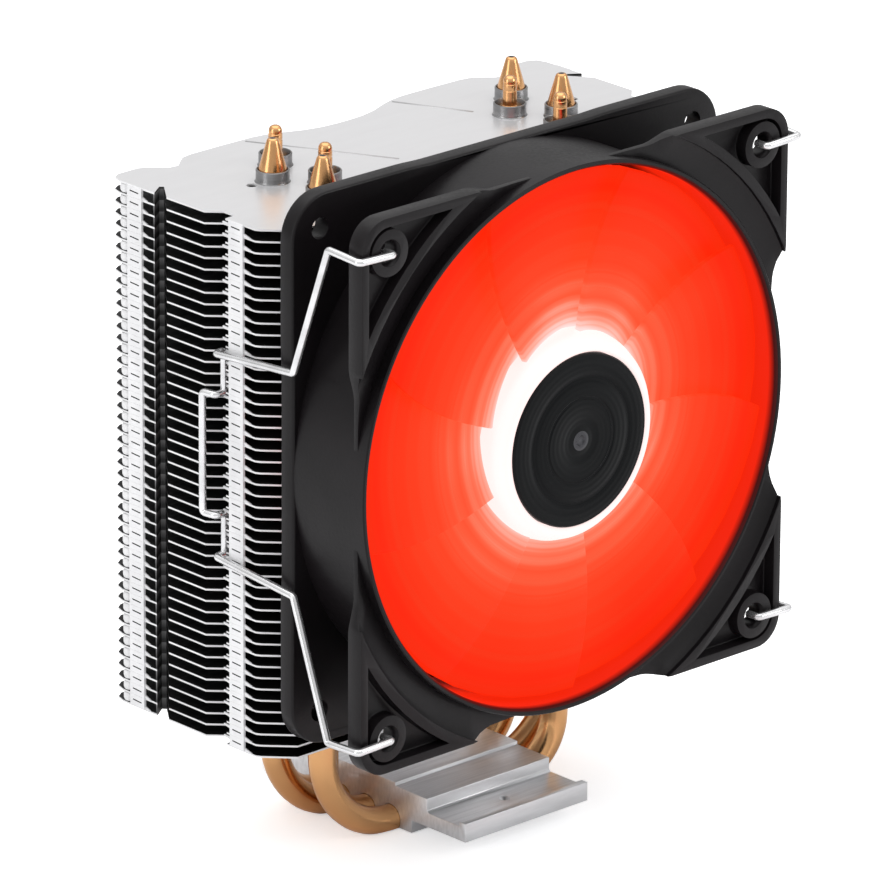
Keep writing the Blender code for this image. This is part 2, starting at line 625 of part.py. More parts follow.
def make_motor(materials):
    middle = STATOR_FRONT + STATOR_LENGTH / 2
    bore = BEARING_TUBE_RADIUS + GAP
    core = plate("stator_core", pole_outline(), [ring(bore, 16)], STATOR_LENGTH,
                 (0.0, FAN_FRONT_Y + middle, FAN_CENTRE_Z), upright=True)
    keep(core, materials["steel"])
    neck = POLE_NECK / 2 + GAP
    wall = COIL_WALL
    near = BEARING_TUBE_RADIUS + CORE_WALL + 0.7 * GAP
    far = STATOR_RADIUS - POLE_TIP_DEPTH - GAP - 0.8 * MM
    deep = STATOR_LENGTH / 2 + GAP
    for i in range(4):
        angle = math.pi / 2 * i
        outer = [(-neck - wall, -deep - wall), (neck + wall, -deep - wall),
                 (neck + wall, deep + wall), (-neck - wall, deep + wall)]
        inner = [(-neck, -deep), (neck, -deep), (neck, deep), (-neck, deep)]
        reach = (near + far) / 2
        coil = plate("stator_coil_%d" % (i + 1), outer, [inner], far - near,
                     (reach * math.cos(angle), FAN_FRONT_Y + middle,
                      FAN_CENTRE_Z + reach * math.sin(angle)))
        coil.rotation_euler = (0.0, math.pi / 2 - angle, 0.0)
        keep(coil, materials["winding"])
    sleeve = hollow_drum("bearing_sleeve", BEARING_RADIUS, SHAFT_RADIUS + SHAFT_RUNNING_GAP,
                         BEARING_FRONT + 0.5 * MM, MOUNT_FRONT - 1.6 * MM, 16)
    keep(sleeve, materials["bearing"])
    board = hollow_drum("circuit_board", BOARD_RADIUS, BEARING_TUBE_RADIUS + GAP, BOARD_FRONT,
                        BOARD_FRONT + BOARD_THICKNESS, 24)
    keep(board, materials["board"])
    reach = (HUB_RADIUS + MOUNT_RADIUS) / 2 + 0.4 * MM
    for i in range(4):
        angle = math.radians(90.0 * i)
        x = reach * math.cos(angle)
        z = FAN_CENTRE_Z + reach * math.sin(angle)
        half = LED_SIZE / 2
        rear = FAN_FRONT_Y + MOUNT_FRONT - GAP
        led = box("led_%d" % (i + 1), (x - half, rear - LED_SIZE, z - half),
                  (x + half, rear, z + half))
        keep(led, materials["led"])


# ---- Clips --------------------------------------------------------------------------------
def make_clip(name, side, material):
    """A spring wire: hook, run across the flange, dive to the fins, finger loop, and back."""
    hole = FAN_HOLE_SPACING / 2
    front = FAN_FRONT_Y - CLIP_FACE_GAP - WIRE_RADIUS
    out = max(FAN_SIZE, FIN_WIDTH) / 2 + CLIP_SIDE_GAP + WIRE_RADIUS
    seat_z = CLIP_FINGER_HALF + CLIP_SEAT_LENGTH
    upper = [(hole, FAN_FRONT_Y + CLIP_HOOK_DEPTH, hole), (hole, front, hole),
             (out, front, hole + CLIP_RISE / 2), (out, FAN_FRONT_Y + CLIP_DIVE_START, hole + CLIP_RISE),
             (out, FAN_FRONT_Y + CLIP_DIVE_END, seat_z + 2.5 * WIRE_RADIUS),
             (out, GROOVE_Y, seat_z), (CLIP_SEAT_X, GROOVE_Y, seat_z),
             (CLIP_SEAT_X, GROOVE_Y, CLIP_FINGER_HALF), (out, GROOVE_Y, CLIP_FINGER_HALF),
             (out + CLIP_FINGER_LEAN, GROOVE_Y + CLIP_FINGER_REACH, CLIP_FINGER_HALF)]
    corners = upper + [(x, y, -z) for x, y, z in reversed(upper)]
    placed = [(side * x, y, z + FAN_CENTRE_Z) for x, y, z in corners]
    return keep(wire(name, bent(placed, WIRE_BEND / 2, 1), WIRE_RADIUS), material)


def rotor_axis():
    """An empty on the fan's axis that every turning piece hangs from."""
    axis = bpy.data.objects.new("rotor_axis", None)
    axis.location = (0.0, FAN_FRONT_Y, FAN_CENTRE_Z)
    PARTS.objects.link(axis)
    bpy.context.view_layer.update()
    for name in ("impeller", "hub_cap", "rotor_yoke", "magnet_ring", "rotor_shaft", "shaft_retainer"):
        piece = bpy.data.objects[name]
        piece.parent = axis
        piece.matrix_parent_inverse = axis.matrix_world.inverted()


def main():
    start_collections()
    aluminium = make_material("fin_aluminium", (0.88, 0.88, 0.89), 0.3, 1.0)
    cast = make_material("base_aluminium", (0.78, 0.78, 0.79), 0.38, 1.0)
    copper = make_material("pipe_copper", (0.85, 0.48, 0.24), 0.25, 1.0)
    plastic = make_material("frame_plastic", (0.03, 0.03, 0.033), 0.5, 0.0)
    spring = make_material("clip_steel", (0.85, 0.85, 0.86), 0.2, 1.0)
    materials = {
        "blade": make_material("blade_plastic", (0.9, 0.06, 0.03), 0.3, 0.0),
        "cap": make_material("cap_plastic", (0.02, 0.02, 0.022), 0.35, 0.0),
        "steel": make_material("rotor_steel", (0.6, 0.6, 0.6), 0.35, 1.0),
        "magnet": make_material("magnet", (0.08, 0.08, 0.085), 0.6, 0.0),
        "winding": make_material("winding_copper", (0.7, 0.28, 0.12), 0.35, 1.0),
        "bearing": make_material("bearing_bronze", (0.72, 0.5, 0.25), 0.4, 1.0),
        "board": make_material("board_green", (0.03, 0.2, 0.08), 0.5, 0.0),
        "led": make_material("led_lens", (1.0, 0.25, 0.2), 0.2, 0.0),
        "plastic": plastic,
    }
    make_base(cast)
    for i, (y, cone_x, stub_x) in enumerate(pipe_places()):
        make_pipe(i + 1, y, cone_x, stub_x, copper)
    for i in range(FIN_COUNT // 2):
        make_fin_pair(i + 1, aluminium)
    make_top_fin(aluminium)
    make_frame(plastic)
    make_rotor(materials)
    make_motor(materials)
    make_clip("clip_left", -1.0, spring)
    make_clip("clip_right", 1.0, spring)
    rotor_axis()


main()
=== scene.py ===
"""Looks of a CPU tower cooler: fins, heat pipes, base, lit fan and wire clips, around its CAD frame.

Laid out as an add-on and run as a script. Lengths are in metres, +Z is up, and the fan draws
air in from -Y.
"""
import math

import bpy
from mathutils import Matrix, Vector


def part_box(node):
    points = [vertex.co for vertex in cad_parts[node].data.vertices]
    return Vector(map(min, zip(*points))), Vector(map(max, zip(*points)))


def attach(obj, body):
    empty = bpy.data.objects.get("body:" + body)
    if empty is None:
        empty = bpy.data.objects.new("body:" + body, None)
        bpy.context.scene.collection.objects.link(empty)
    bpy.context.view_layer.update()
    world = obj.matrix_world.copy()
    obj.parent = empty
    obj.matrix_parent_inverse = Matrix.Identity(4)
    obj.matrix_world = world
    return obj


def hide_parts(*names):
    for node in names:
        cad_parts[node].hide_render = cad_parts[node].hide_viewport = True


bl_info = {
    "name": "CPU tower cooler",
    "version": (1, 0, 0),
    "blender": (4, 5, 0),
    "location": "3D View > Sidebar > Cooler",
    "description": "Builds a finned CPU cooler with a lit fan around its CAD frame",
    "category": "Add Mesh",
}

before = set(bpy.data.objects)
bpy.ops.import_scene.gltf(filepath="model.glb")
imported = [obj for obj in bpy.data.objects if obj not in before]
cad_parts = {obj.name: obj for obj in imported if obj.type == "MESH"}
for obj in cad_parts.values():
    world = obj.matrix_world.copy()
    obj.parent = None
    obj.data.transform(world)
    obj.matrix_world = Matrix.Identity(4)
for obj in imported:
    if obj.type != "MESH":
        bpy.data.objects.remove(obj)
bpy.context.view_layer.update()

MM = 0.001
FAN_LOW, FAN_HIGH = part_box("fan_frame")
FAN_FRONT = FAN_LOW.y
FAN_BACK = FAN_HIGH.y
FAN_HALF = (FAN_HIGH.x - FAN_LOW.x) / 2
AXIS_Z = (FAN_LOW.z + FAN_HIGH.z) / 2
AXIS = Vector((0.0, FAN_FRONT, AXIS_Z))
TOP_LOW, TOP_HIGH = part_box("top_fin")
PAIR_LOW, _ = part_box("fin_pair_01")
BASE_LOW, BASE_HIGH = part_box("base_block")
PAIR_COUNT = sum(1 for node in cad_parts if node.startswith("fin_pair_"))
FIN_PITCH = (TOP_LOW.z - PAIR_LOW.z) / (2 * PAIR_COUNT)
FIN_THICKNESS = TOP_HIGH.z - TOP_LOW.z
FIN_HALF = TOP_HIGH.x
HOLE_REACH = 52.5 * MM          # from the fan's axis to its screw holes, along x and z
BACK_DEPTH = FAN_BACK - FAN_FRONT
ROUND = 96                      # sides of the fan's large round pieces


def from_face(x, depth, height):
    """A point given from the fan's axis at its front face."""
    return behind_face(x, depth, AXIS_Z + height)


def behind_face(x, depth, z):
    """A point given by its depth behind the fan's front face, and otherwise in the world."""
    return Vector((x, FAN_FRONT + depth, z))


# ---- Sizes and colours --------------------------------------------------------------------
def length(name, description, default):
    return bpy.props.FloatProperty(name=name, description=description, default=default,
                                   min=0.0, subtype="DISTANCE", unit="LENGTH", precision=5)


def colour(name, description, default):
    return bpy.props.FloatVectorProperty(name=name, description=description, default=default,
                                         size=3, min=0.0, max=1.0, subtype="COLOR")


class CoolerSizes(bpy.types.PropertyGroup):
    """Sizes a user may change."""
    pipe_radius: length("Pipe radius", "Radius of the heat pipes", 3.0 * MM)
    collar_height: length("Collar height", "Rise of the collars on the top fin", 2.7 * MM)
    edge_round: length("Edge rounding", "Rounding on the fan frame's edges", 0.45 * MM)
    bore_radius: length("Bore radius", "Inner radius of the fan's duct", 58.0 * MM)
    rim_wall: length("Rim wall", "Wall of the duct and its free rim", 1.5 * MM)
    moat_radius: length("Moat radius", "Outer radius of the channel round the rim", 65.8 * MM)
    pocket_radius: length("Pocket radius", "Inner arc of the corner pockets", 68.0 * MM)
    pocket_depth: length("Pocket depth", "Depth of the corner pockets", 2.9 * MM)
    boss_radius: length("Boss radius", "Radius of the bosses round the screw holes", 5.0 * MM)
    screw_hole: length("Screw hole radius", "Radius of the fan's screw holes", 2.3 * MM)
    hub_radius: length("Hub radius", "Radius of the rotor's hub", 19.5 * MM)
    blade_thickness: length("Blade thickness", "Thickness of a blade", 1.3 * MM)
    wire_radius: length("Wire radius", "Radius of the clips' wire", 0.8 * MM)


class CoolerColours(bpy.types.PropertyGroup):
    """Colours a user may change."""
    sheet: colour("Fin sheet", "Rolled aluminium of the fins", (0.8, 0.795, 0.805))
    cut_edge: colour("Fin edge", "Sheared edge of a fin", (0.84, 0.84, 0.85))
    copper: colour("Copper", "Polished copper of the pipes", (0.8, 0.43, 0.19))
    base: colour("Base", "Milled aluminium of the base", (0.74, 0.74, 0.755))
    plastic: colour("Frame", "Black plastic of the frame", (0.0085, 0.0068, 0.0078))
    blade_rim: colour("Blade light, rim", "Light of the blades at their tips", (1.0, 0.02, 0.003))
    blade_root: colour("Blade light, root", "Light of the blades by the hub", (1.0, 0.78, 0.75))
    wire: colour("Wire", "Bright spring steel of the clips", (0.86, 0.86, 0.87))


# ---- Modelling by hand --------------------------------------------------------------------
def choose(*objects):
    """Leaves edit mode and selects only these, with the first one active."""
    if bpy.context.object and bpy.context.object.mode != "OBJECT":
        bpy.ops.object.mode_set(mode="OBJECT")
    bpy.ops.object.select_all(action="DESELECT")
    for obj in objects:
        obj.select_set(True)
    bpy.context.view_layer.objects.active = objects[0]


def added(name):
    """Names the primitive just added and puts its place into its mesh."""
    obj = bpy.context.object
    obj.name = name
    obj.data.name = name
    choose(obj)
    bpy.ops.object.transform_apply(location=True, rotation=True, scale=True)
    return obj


def edit(obj, kind="VERT"):
    choose(obj)
    bpy.ops.object.mode_set(mode="EDIT")
    bpy.ops.mesh.select_mode(type=kind)
    bpy.ops.mesh.select_all(action="SELECT")


def stop_editing():
    bpy.ops.object.mode_set(mode="OBJECT")


def pick(obj, kind, test):
    """Selects the vertices, edges or faces that pass a test, and goes on in edit mode."""
    choose(obj)
    bpy.ops.object.mode_set(mode="EDIT")
    bpy.ops.mesh.select_mode(type=kind)
    bpy.ops.mesh.select_all(action="DESELECT")
    bpy.ops.object.mode_set(mode="OBJECT")
    mesh = obj.data
    items = {"VERT": mesh.vertices, "EDGE": mesh.edges, "FACE": mesh.polygons}[kind]
    for item in items:
        item.select = bool(test(item))
    bpy.ops.object.mode_set(mode="EDIT")


def outward(obj):
    edit(obj)
    bpy.ops.mesh.remove_doubles(threshold=0.002 * MM)
    bpy.ops.mesh.normals_make_consistent(inside=False)
    stop_editing()
    return obj


def use_modifier(obj, kind, **settings):
    """Adds a modifier with these settings and applies it."""
    choose(obj)
    modifier = obj.modifiers.new(kind.lower(), kind)
    for key, value in settings.items():
        setattr(modifier, key, value)
    bpy.ops.object.modifier_apply(modifier=modifier.name)
    return obj


def carve(obj, *cutters):
    """Cuts the cutters out of a piece and removes them."""
    for cutter in cutters:
        use_modifier(obj, "BOOLEAN", operation="DIFFERENCE", solver="EXACT", object=cutter)
        bpy.data.objects.remove(cutter)
    return obj


def weld(obj, *others):
    """Unites closed bodies into one skin."""
    for other in others:
        use_modifier(obj, "BOOLEAN", operation="UNION", solver="EXACT", object=other)
        bpy.data.objects.remove(other)
    return obj


def gather(obj, *others):
    """Joins bodies that only touch into one piece."""
    choose(obj, *others)
    bpy.ops.object.join()
    return obj


def soften(obj, width, segments=2, angle=40.0):
    """Rounds the sharp edges of a piece."""
    return use_modifier(obj, "BEVEL", width=width, segments=segments, limit_method="ANGLE",
                        angle_limit=math.radians(angle), use_clamp_overlap=True)


def smooth(obj, angle=34.0):
    choose(obj)
    bpy.ops.object.shade_smooth_by_angle(angle=math.radians(angle))
    return obj


def slide(value):
    return {"value": tuple(value)}


def block(name, low, high):
    low, high = Vector(low), Vector(high)
    bpy.ops.mesh.primitive_cube_add(size=1.0, location=(low + high) / 2)
    bpy.ops.transform.resize(value=tuple(high - low))
    return added(name)


def traced(name, points, thickness):
    """A flat outline drawn point by point, filled, and drawn out by a thickness vector."""
    bpy.ops.mesh.primitive_plane_add(size=MM, location=(0.0, 0.0, 0.0))
    obj = added(name)
    edit(obj)
    bpy.ops.mesh.merge(type="CENTER")
    bpy.ops.transform.translate(value=tuple(points[0]))
    for before, after in zip(points, points[1:]):
        bpy.ops.mesh.extrude_vertices_move(
            TRANSFORM_OT_translate=slide(Vector(after) - Vector(before)))
    bpy.ops.mesh.select_all(action="SELECT")
    bpy.ops.mesh.edge_face_add()
    bpy.ops.mesh.extrude_region_move(TRANSFORM_OT_translate=slide(thickness))
    bpy.ops.mesh.select_all(action="SELECT")
    bpy.ops.mesh.normals_make_consistent(inside=False)
    stop_editing()
    return obj


def turned(name, profile, sides, centre, upright=False, closed=False):
    """A round piece, drawn out ring by ring along (radius, depth) from a circle.

    It turns about the Y axis through the centre, or about the Z axis when upright. A closed
    profile joins its last ring to its first; an open one gets flat ends.
    """
    along = Vector((0.0, 0.0, 1.0)) if upright else Vector((0.0, 1.0, 0.0))
    tilt = 0.0 if upright else math.radians(90.0)
    radius, depth = profile[0]
    bpy.ops.mesh.primitive_circle_add(vertices=sides, radius=radius, fill_type="NOTHING",
                                      location=centre + along * depth, rotation=(tilt, 0, 0))
    obj = added(name)
    edit(obj, "EDGE")
    if not closed:
        bpy.ops.mesh.edge_face_add()
        bpy.ops.mesh.select_all(action="SELECT")
        bpy.ops.mesh.select_mode(type="EDGE")
        bpy.ops.mesh.region_to_loop()
    rings = profile[1:] + ([profile[0]] if closed else [])
    for after, deeper in rings:
        bpy.ops.mesh.extrude_edges_move(
            TRANSFORM_OT_translate=slide(along * (deeper - depth)))
        share = after / radius
        scale = (share, share, 1.0) if upright else (share, 1.0, share)
        bpy.ops.transform.resize(value=scale, center_override=tuple(centre + along * deeper))
        radius, depth = after, deeper
    if not closed:
        bpy.ops.mesh.edge_face_add()
    stop_editing()
    return outward(obj)


def rod(name, radius, start, stop, sides, centre, upright=False):
    return turned(name, [(radius, start), (radius, stop)], sides, centre, upright)


def bent_bar(name, path, radius, ring_quarter, shares=None):
    """A round bar or wire along a path; shares narrow it at single points."""
    bpy.ops.curve.primitive_nurbs_path_add(location=(0.0, 0.0, 0.0))
    obj = bpy.context.object
    curve = obj.data
    curve.splines.clear()
    spline = curve.splines.new("POLY")
    spline.points.add(len(path) - 1)
    for i, place in enumerate(path):
        spline.points[i].co = (*place, 1.0)
        spline.points[i].radius = 1.0 if shares is None else shares[i]
    curve.dimensions = "3D"
    curve.bevel_depth = radius
    curve.bevel_resolution = ring_quarter
    curve.use_fill_caps = True
    choose(obj)
    bpy.ops.object.convert(target="MESH")
    return outward(added(name))


def rounded_path(corners, radius, steps):
    """The path through the corners with each inner corner turned into an arc."""
    path = [Vector(corners[0])]
    for before, corner, after in zip(corners, corners[1:], corners[2:]):
        corner = Vector(corner)
        back = (Vector(before) - corner).normalized()
        forth = (Vector(after) - corner).normalized()
        half = (math.pi - back.angle(forth)) / 2
        reach = radius * math.tan(half)
        middle = corner + (back + forth).normalized() * radius / math.cos(half)
        start = (corner + back * reach - middle).normalized()
        end = (corner + forth * reach - middle).normalized()
        path += [middle + start.slerp(end, i / steps) * radius for i in range(steps + 1)]
    return path + [Vector(corners[-1])]


def spun_copy(obj, name, turn, axis, centre):
    """A copy with its own mesh, turned about an axis through a point."""
    copy = obj.copy()
    copy.data = obj.data.copy()
    copy.name = name
    copy.data.name = name
    bpy.context.scene.collection.objects.link(copy)
    centre = Vector(centre)
    copy.data.transform(Matrix.Translation(centre) @ Matrix.Rotation(turn, 4, axis)
                        @ Matrix.Translation(-centre))
    return copy


def raised_copy(obj, name, offset):
    copy = spun_copy(obj, name, 0.0, "Z", (0.0, 0.0, 0.0))
    copy.data.transform(Matrix.Translation(Vector(offset)))
    return copy


def mirrored_copy(obj, name):
    """A copy on the other side of the cooler, with its faces put right again."""
    copy = raised_copy(obj, name, (0.0, 0.0, 0.0))
    copy.data.transform(Matrix.Scale(-1.0, 4, (1.0, 0.0, 0.0)))
    copy.data.flip_normals()
    return copy


def mount_piece(obj, body, slot, *nodes):
    """Puts a finished piece on its body in place of the CAD nodes it stands for."""
    obj.select_set(False)
    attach(obj, body)
    if nodes:
        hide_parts(*nodes)
    return obj


# ---- Finishes -----------------------------------------------------------------------------
def effect_group(name, inputs, outputs):
    tree = bpy.data.node_groups.new(name, "ShaderNodeTree")
    for label, kind, value in inputs:
        item = tree.interface.new_socket(name=label, in_out="INPUT", socket_type=kind)
        if value is not None:
            item.default_value = value
    for label, kind in outputs:
        tree.interface.new_socket(name=label, in_out="OUTPUT", socket_type=kind)
    return tree, tree.nodes.new("NodeGroupInput"), tree.nodes.new("NodeGroupOutput")


def node(tree, kind, links=(), **values):
    """Adds a node with its inputs set by name or number and wired to other sockets."""
    made = tree.nodes.new(kind)
    for key, value in values.items():
        setattr(made, key, value)
    for where, what in links:
        target = made.inputs[where]
        if isinstance(what, bpy.types.NodeSocket):
            tree.links.new(what, target)
        else:
            target.default_value = what
    return made


def calc(tree, operation, *terms):
    """The result of a sum, product or the like."""
    return node(tree, "ShaderNodeMath", list(enumerate(terms)), operation=operation).outputs[0]


def spread(tree, value, low, high, least=0.0, most=1.0):
    """A value taken from one pair of limits to another."""
    return node(tree, "ShaderNodeMapRange", [
        ("Value", value), ("From Min", low), ("From Max", high),
        ("To Min", least), ("To Max", most)]).outputs[0]


def grain_group():
    """Fine grain and broad smudges: a height, a roughness and a shade that vary over a surface."""
    number = "NodeSocketFloat"
    tree, start, end = effect_group(
        "surface grain",
        [("Vector", "NodeSocketVector", None), ("Fineness", number, 900.0),
         ("Roughness low", number, 0.3), ("Roughness high", number, 0.45)],
        [("Height", number), ("Roughness", number), ("Shade", number)])
    fine = node(tree, "ShaderNodeTexNoise", [
        ("Vector", start.outputs["Vector"]), ("Scale", start.outputs["Fineness"]),
        ("Detail", 3.0)])
    broad = node(tree, "ShaderNodeTexNoise", [
        ("Vector", start.outputs["Vector"]), ("Scale", 45.0), ("Detail", 4.0)])
    both = calc(tree, "MULTIPLY", fine.outputs["Fac"], broad.outputs["Fac"])
    rough = spread(tree, both, 0.12, 0.42, start.outputs["Roughness low"],
                   start.outputs["Roughness high"])
    tree.links.new(fine.outputs["Fac"], end.inputs["Height"])
    tree.links.new(rough, end.inputs["Roughness"])
    tree.links.new(broad.outputs["Fac"], end.inputs["Shade"])
    return tree


def ring_group():
    """Rings about the fan's axis: distance from it, and fine and broad circular streaks."""
    number = "NodeSocketFloat"
    tree, start, end = effect_group(
        "rings about the axis",
        [("Vector", "NodeSocketVector", None), ("Fineness", number, 1600.0)],
        [("Distance", number), ("Streak", number), ("Groove", number)])
    shifted = node(tree, "ShaderNodeVectorMath", [
        (0, start.outputs["Vector"]), (1, (0.0, 0.0, AXIS_Z))], operation="SUBTRACT")
    flat = node(tree, "ShaderNodeVectorMath", [
        (0, shifted.outputs[0]), (1, (1.0, 0.0, 1.0))], operation="MULTIPLY")
    far = node(tree, "ShaderNodeVectorMath", [(0, flat.outputs[0])], operation="LENGTH")
    streak = node(tree, "ShaderNodeTexNoise", [
        ("W", far.outputs["Value"]), ("Scale", 260.0), ("Detail", 4.0)],
        noise_dimensions="1D")
    groove = calc(tree, "SINE", calc(tree, "MULTIPLY", far.outputs["Value"],
                                     start.outputs["Fineness"]))
    tree.links.new(far.outputs["Value"], end.inputs["Distance"])
    tree.links.new(streak.outputs["Fac"], end.inputs["Streak"])
    tree.links.new(groove, end.inputs["Groove"])
    return tree


class Finish:
    """A material being built: its tree, its shader and the usual ways to feed it."""

    def __init__(self, name, metallic=0.0):
        self.material = bpy.data.materials.new(name)
        self.material.use_nodes = True
        self.tree = self.material.node_tree
        self.shader = self.tree.nodes["Principled BSDF"]
        self.level("Metallic", metallic)
        coordinates = self.tree.nodes.new("ShaderNodeTexCoord")
        self.place = coordinates.outputs["Object"]

    def stretched(self, scale):
        """Coordinates drawn out so that grain turns into lines."""
        return node(self.tree, "ShaderNodeMapping", [
            ("Vector", self.place), ("Scale", scale)]).outputs[0]

    def group(self, tree, links):
        made = node(self.tree, "ShaderNodeGroup", node_tree=tree)
        for where, what in links:
            if isinstance(what, bpy.types.NodeSocket):
                self.tree.links.new(what, made.inputs[where])
            else:
                made.inputs[where].default_value = what
        return made.outputs

    def rings(self, fineness):
        """Distance, streaks and grooves about the fan's axis."""
        return self.group(effects()["rings"], [("Vector", self.place), ("Fineness", fineness)])

    def feed(self, name, socket):
        self.tree.links.new(socket, self.shader.inputs[name])

    def level(self, name, value):
        """Sets one of the shader's inputs to the same value everywhere."""
        self.shader.inputs[name].default_value = value

    def blend(self, name, first, second, share, low=0.35, high=0.65):
        """Feeds a mix of two colours, by a share that is first spread between two limits."""
        mix = node(self.tree, "ShaderNodeMix", [
            (0, spread(self.tree, share, low, high)), (6, (*first, 1.0)), (7, (*second, 1.0))],
            data_type="RGBA")
        self.feed(name, mix.outputs[2])

    def bump(self, height, distance, strength=1.0):
        made = node(self.tree, "ShaderNodeBump", [
            ("Height", height), ("Distance", distance), ("Strength", strength)])
        self.feed("Normal", made.outputs[0])

    def grain(self, scale=(1.0, 1.0, 1.0), fineness=900.0, rough=(0.3, 0.45), depth=0.01 * MM):
        """The usual grain: roughness and bump, with its shade handed back for the colour."""
        out = self.group(effects()["grain"], [
            ("Vector", self.stretched(scale)), ("Fineness", fineness),
            ("Roughness low", rough[0]), ("Roughness high", rough[1])])
        self.feed("Roughness", out["Roughness"])
        self.bump(out["Height"], depth)
        return out["Shade"]


EFFECTS = {}
FINISHES = {}


def effects():
    if not EFFECTS:
        EFFECTS["grain"] = grain_group()
        EFFECTS["rings"] = ring_group()
    return EFFECTS


def darker(rgb, share):
    return tuple(c * share for c in rgb)


def finish(name):
    """The material of this name, made when first asked for."""
    if name not in FINISHES:
        FINISHES[name] = MAKERS[name](bpy.context.scene.cooler_colours).material
    return FINISHES[name]


def grained(name, metallic, stretch, fineness, rough, depth, source, shares, limits=(0.35, 0.65)):
    """A finish of one colour, given or named, in two shades that follow the usual grain."""
    def make(colours):
        rgb = getattr(colours, source) if isinstance(source, str) else source
        made = Finish(name, metallic)
        shade = made.grain(stretch, fineness, rough, depth * MM)
        first, second = [darker(rgb, share) for share in shares]
        made.blend("Base Color", first, second, shade, *limits)
        return made
    return make


def frame_plastic(colours):
    made = grained("frame plastic", 0.0, (1.0, 1.0, 1.0), 1400.0, (0.3, 0.44), 0.02,
                   "plastic", (1.0, 0.6))(colours)
    made.level("Specular IOR Level", 0.2)
    return made


def notch_shade(colours):
    """Walls of the side notches in painted shade: dark at each fin and greyer towards the next one.
    """
    made = Finish("notch wall", metallic=0.2)
    parts = node(made.tree, "ShaderNodeSeparateXYZ", [(0, made.place)])
    rise = calc(made.tree, "SUBTRACT", parts.outputs["Z"], PAIR_LOW.z)
    share = calc(made.tree, "FRACT", calc(made.tree, "DIVIDE", rise, FIN_PITCH))
    made.blend("Base Color", darker(colours.sheet, 0.012), darker(colours.sheet, 0.22),
               share, 0.3, 1.0)
    made.grain((1.0, 1.0, 5.0), 700.0, (0.4, 0.6), 0.01 * MM)
    return made


# Light of the blades from the hub out: place on the way to the duct, and share of the root's light.
LIGHT_FALL = ((0.09, 1.0), (1.0, 0.0), (0.15, 0.55), (0.23, 0.24), (0.32, 0.12), (0.45, 0.06),
              (0.6, 0.036), (0.76, 0.016), (0.9, 0.005))

LIGHT_REACH = (18.0 * MM, 58.0 * MM)    # the hub's edge and the duct, for the places above


def lit_blade(colours):
    made = Finish("lit blade")
    rings = made.rings(900.0)
    ramp = node(made.tree, "ShaderNodeValToRGB")
    wobble = node(made.tree, "ShaderNodeTexNoise", [
        ("Vector", made.place), ("Scale", 38.0), ("Detail", 1.0)])
    uneven = calc(made.tree, "MULTIPLY_ADD", wobble.outputs["Fac"], -9.0 * MM, 4.5 * MM)
    streaks = calc(made.tree, "MULTIPLY_ADD", rings["Streak"], 12.0 * MM, -6.0 * MM)
    moved = calc(made.tree, "ADD", rings["Distance"], calc(made.tree, "ADD", streaks, uneven))
    made.tree.links.new(spread(made.tree, moved, *LIGHT_REACH), ramp.inputs[0])
    stops = ramp.color_ramp.elements
    for i, (place, light) in enumerate(LIGHT_FALL):
        stop = stops[i] if i < 2 else stops.new(place)
        stop.position = place
        shares = (light, light, light ** 1.35)
        stop.color = (*[part * a + (1.0 - part) * b for part, a, b in zip(
            shares, colours.blade_root, colours.blade_rim)], 1.0)
    made.feed("Emission Color", ramp.outputs[0])
    made.level("Emission Strength", 0.96)
    made.blend("Base Color", (0.02, 0.0, 0.0), (0.05, 0.001, 0.0), rings["Streak"])
    made.level("Roughness", 0.5)
    made.level("Specular IOR Level", 0.03)
    made.bump(rings["Streak"], 0.12 * MM)
    return made


def lit_bore(colours):
    """The duct's wall in the glow of the blades, brightest beside them."""
    made = Finish("bore in red light")
    parts = node(made.tree, "ShaderNodeSeparateXYZ", [(0, made.place)])
    depth = calc(made.tree, "SUBTRACT", parts.outputs["Y"], FAN_FRONT)
    glow = spread(made.tree, depth, 0.9 * MM, 2.6 * MM, 0.05, 0.9)
    fade = spread(made.tree, depth, 11.0 * MM, 20.0 * MM, 1.0, 0.12)
    made.feed("Emission Strength", calc(made.tree, "MULTIPLY", glow, fade))
    made.level("Emission Color", (*colours.blade_rim, 1.0))
    shade = made.grain((1.0, 1.0, 1.0), 1400.0, (0.3, 0.44), 0.02 * MM)
    made.blend("Base Color", colours.plastic, darker(colours.plastic, 0.6), shade)
    made.level("Specular IOR Level", 0.1)
    return made


def lit_ring(colours):
    made = Finish("lit hub ring")
    rings = made.rings(900.0)
    made.blend("Emission Color", (1.0, 0.9, 0.88), colours.blade_root, rings["Streak"])
    made.level("Emission Strength", 0.95)
    made.level("Base Color", (0.3, 0.15, 0.15, 1.0))
    made.level("Roughness", 0.4)
    made.bump(rings["Streak"], 0.1 * MM)
    return made


def turned_cap(colours):
    made = Finish("turned cap")
    rings = made.rings(5200.0)
    made.blend("Base Color", (0.003, 0.0035, 0.004), (0.009, 0.0095, 0.01), rings["Streak"])
    made.level("Specular IOR Level", 0.07)
    made.feed("Roughness", spread(made.tree, rings["Streak"], 0.3, 0.7, 0.24, 0.42))
    made.bump(rings["Groove"], 0.015 * MM)
    return made


def cap_centre(colours):
    made = Finish("cap centre", metallic=0.9)
    rings = made.rings(9000.0)
    made.blend("Base Color", (0.12, 0.12, 0.125), (0.05, 0.05, 0.055), rings["Streak"])
    made.level("Roughness", 0.3)
    made.bump(rings["Groove"], 0.01 * MM)
    return made


def winding(colours):
    made = Finish("enamelled winding", metallic=0.7)
    turns = node(made.tree, "ShaderNodeTexWave", [
        ("Vector", made.place), ("Scale", 700.0), ("Distortion", 1.5)], bands_direction="Y")
    made.blend("Base Color", (0.55, 0.2, 0.07), (0.2, 0.06, 0.02), turns.outputs["Fac"])
    made.level("Roughness", 0.32)
    made.bump(turns.outputs["Fac"], 0.12 * MM)
    return made


